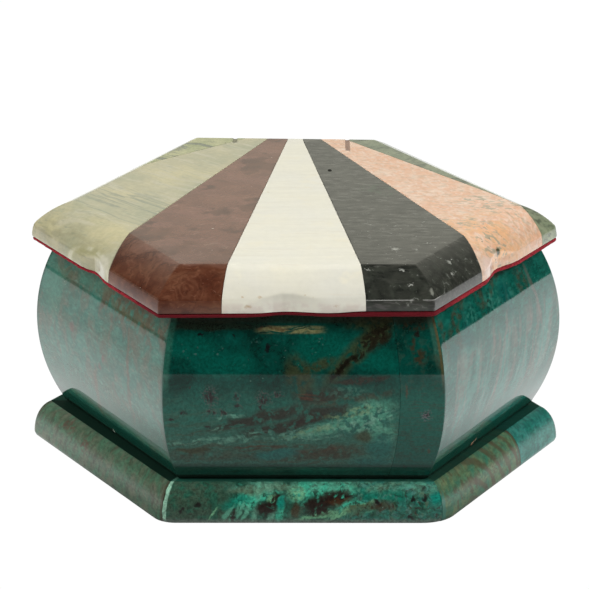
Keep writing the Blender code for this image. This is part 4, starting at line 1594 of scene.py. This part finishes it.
def table_white():
    """White paper: plain white to the camera, and to the stones a sheet that glows at both sides."""
    b = Bench("table_white", roughness=0.7, base_color=(0.16, 0.16, 0.16, 1))
    x = b.axes()[0]
    glow = SHEEN
    for side, (grows, further) in GLOWS.items():
        glow = b.step(x, side * GLOW_EDGE[0], side * GLOW_EDGE[1]) * grows + glow
        glow = b.step(x, side * GLOW_FADE[0], side * GLOW_FADE[1]) * further + glow
    lit = b.node("ShaderNodeEmission", {}, {"Strength": glow})
    paper = b.node("ShaderNodeAddShader", {}, {0: Wire(b, b.shader.outputs[0]), 1: lit})
    seen = b.node("ShaderNodeEmission", {}, {"Strength": 1.02})
    camera = b.node("ShaderNodeLightPath", out="Is Camera Ray")
    both = b.node("ShaderNodeMixShader", {}, {0: camera, 1: paper, 2: seen})
    b.tree.links.new(both.socket, b.tree.nodes["Material Output"].inputs["Surface"])
    return b


def make_table():
    """A flat white table top, just below the box."""
    mesh = bpy.data.meshes.new("table")
    corners = [(x, y, 0) for y in (TABLE_FRONT, TABLE_BACK) for x in (-TABLE_SIDES, TABLE_SIDES)]
    mesh.from_pydata(corners, [], [(0, 1, 3, 2)])
    table = bpy.data.objects.new("table", mesh)
    bpy.context.scene.collection.objects.link(table)
    table_white().finish(table)
    return table


table = make_table()

# %% [markdown]
# The two soft boxes are not seen in the polish, only in the colour they bring out. What the
# polish shows is the world around: a wall that grows bright behind the box, a dark room in
# front, and a strip at the left that starts at the table's edge.

# %% Light
def soft_box(name, place, size, power):
    """A square area light that looks at the box."""
    light = bpy.data.lights.new(name, "AREA")
    light.shape, light.size, light.energy = "SQUARE", size, power
    lamp = bpy.data.objects.new(name, light)
    lamp.location = place
    lamp.visible_glossy = False
    lamp.rotation_euler = (Vector((0, 0, 0.03)) - Vector(place)).to_track_quat("-Z", "Y").to_euler()
    bpy.context.scene.collection.objects.link(lamp)


for name, side in (("left_box", -1), ("right_box", 1)):
    soft_box(name, (side * 0.85, -0.38, 0.9), 0.9, 13.2)

DIM, BRIGHT_BEHIND = 0.02, 0.68  # the room in front of the box, and the wall behind it
WINDOW = 0.3  # how much brighter the strip at the left is, from the table's edge up


def light_room():
    """A world that is white to the camera, and to the stones a room: bright behind, dark in front."""
    world = bpy.data.worlds.new("studio")
    world.use_nodes = True
    bpy.context.scene.world = world
    sky = Graph(world.node_tree, "Background")
    x, y, z = sky.parts(sky.node("ShaderNodeTexCoord", out="Generated"))
    camera = sky.node("ShaderNodeLightPath", out="Is Camera Ray")
    room = sky.step(y, 0.45, 0.96) * (BRIGHT_BEHIND - DIM) + DIM
    strip = sky.step(x, -0.3, -0.6, "LINEAR") * WINDOW
    for low, high in ((-0.012, -0.009), (0.32, 0.12)):
        strip = strip * sky.step(z, low, high, "LINEAR")
    sky.feed(strength=sky.node("ShaderNodeMix", {}, {0: camera, 2: room + strip, 3: 1.0}),
             color=sky.mix(camera, (1000, 985, 840), (1000, 1000, 1000)))
    print(f"{world.name}: {len(world.node_tree.nodes)} nodes")


light_room()

# %% [markdown]
# Small things are looked at through a long lens from a little above. It keeps upright edges
# nearly parallel, and the flat lid shows as a narrow band rather than as a wide field.

# %% Camera
CAMERA_ELEVATION, CAMERA_TURN = math.radians(19.49), math.radians(-0.26)
CAMERA_DISTANCE, CAMERA_AIM = 0.726, Vector((0, 0, 0.0387))
CAMERA_LENS = 173.28


def make_camera():
    """A long lens, looking down at the front of the box."""
    camera = bpy.data.objects.new("camera", bpy.data.cameras.new("camera"))
    camera.data.lens, camera.data.sensor_width = CAMERA_LENS, 36
    look = Vector((math.sin(CAMERA_TURN) * math.cos(CAMERA_ELEVATION),
                   math.cos(CAMERA_TURN) * math.cos(CAMERA_ELEVATION), -math.sin(CAMERA_ELEVATION)))
    camera.location = CAMERA_AIM - look * CAMERA_DISTANCE
    camera.rotation_euler = look.to_track_quat("-Z", "Y").to_euler()
    bpy.context.scene.collection.objects.link(camera)
    bpy.context.scene.camera = camera
    print("camera at", [round(c, 3) for c in camera.location])


make_camera()
bpy.context.scene.view_settings.view_transform = "Standard"
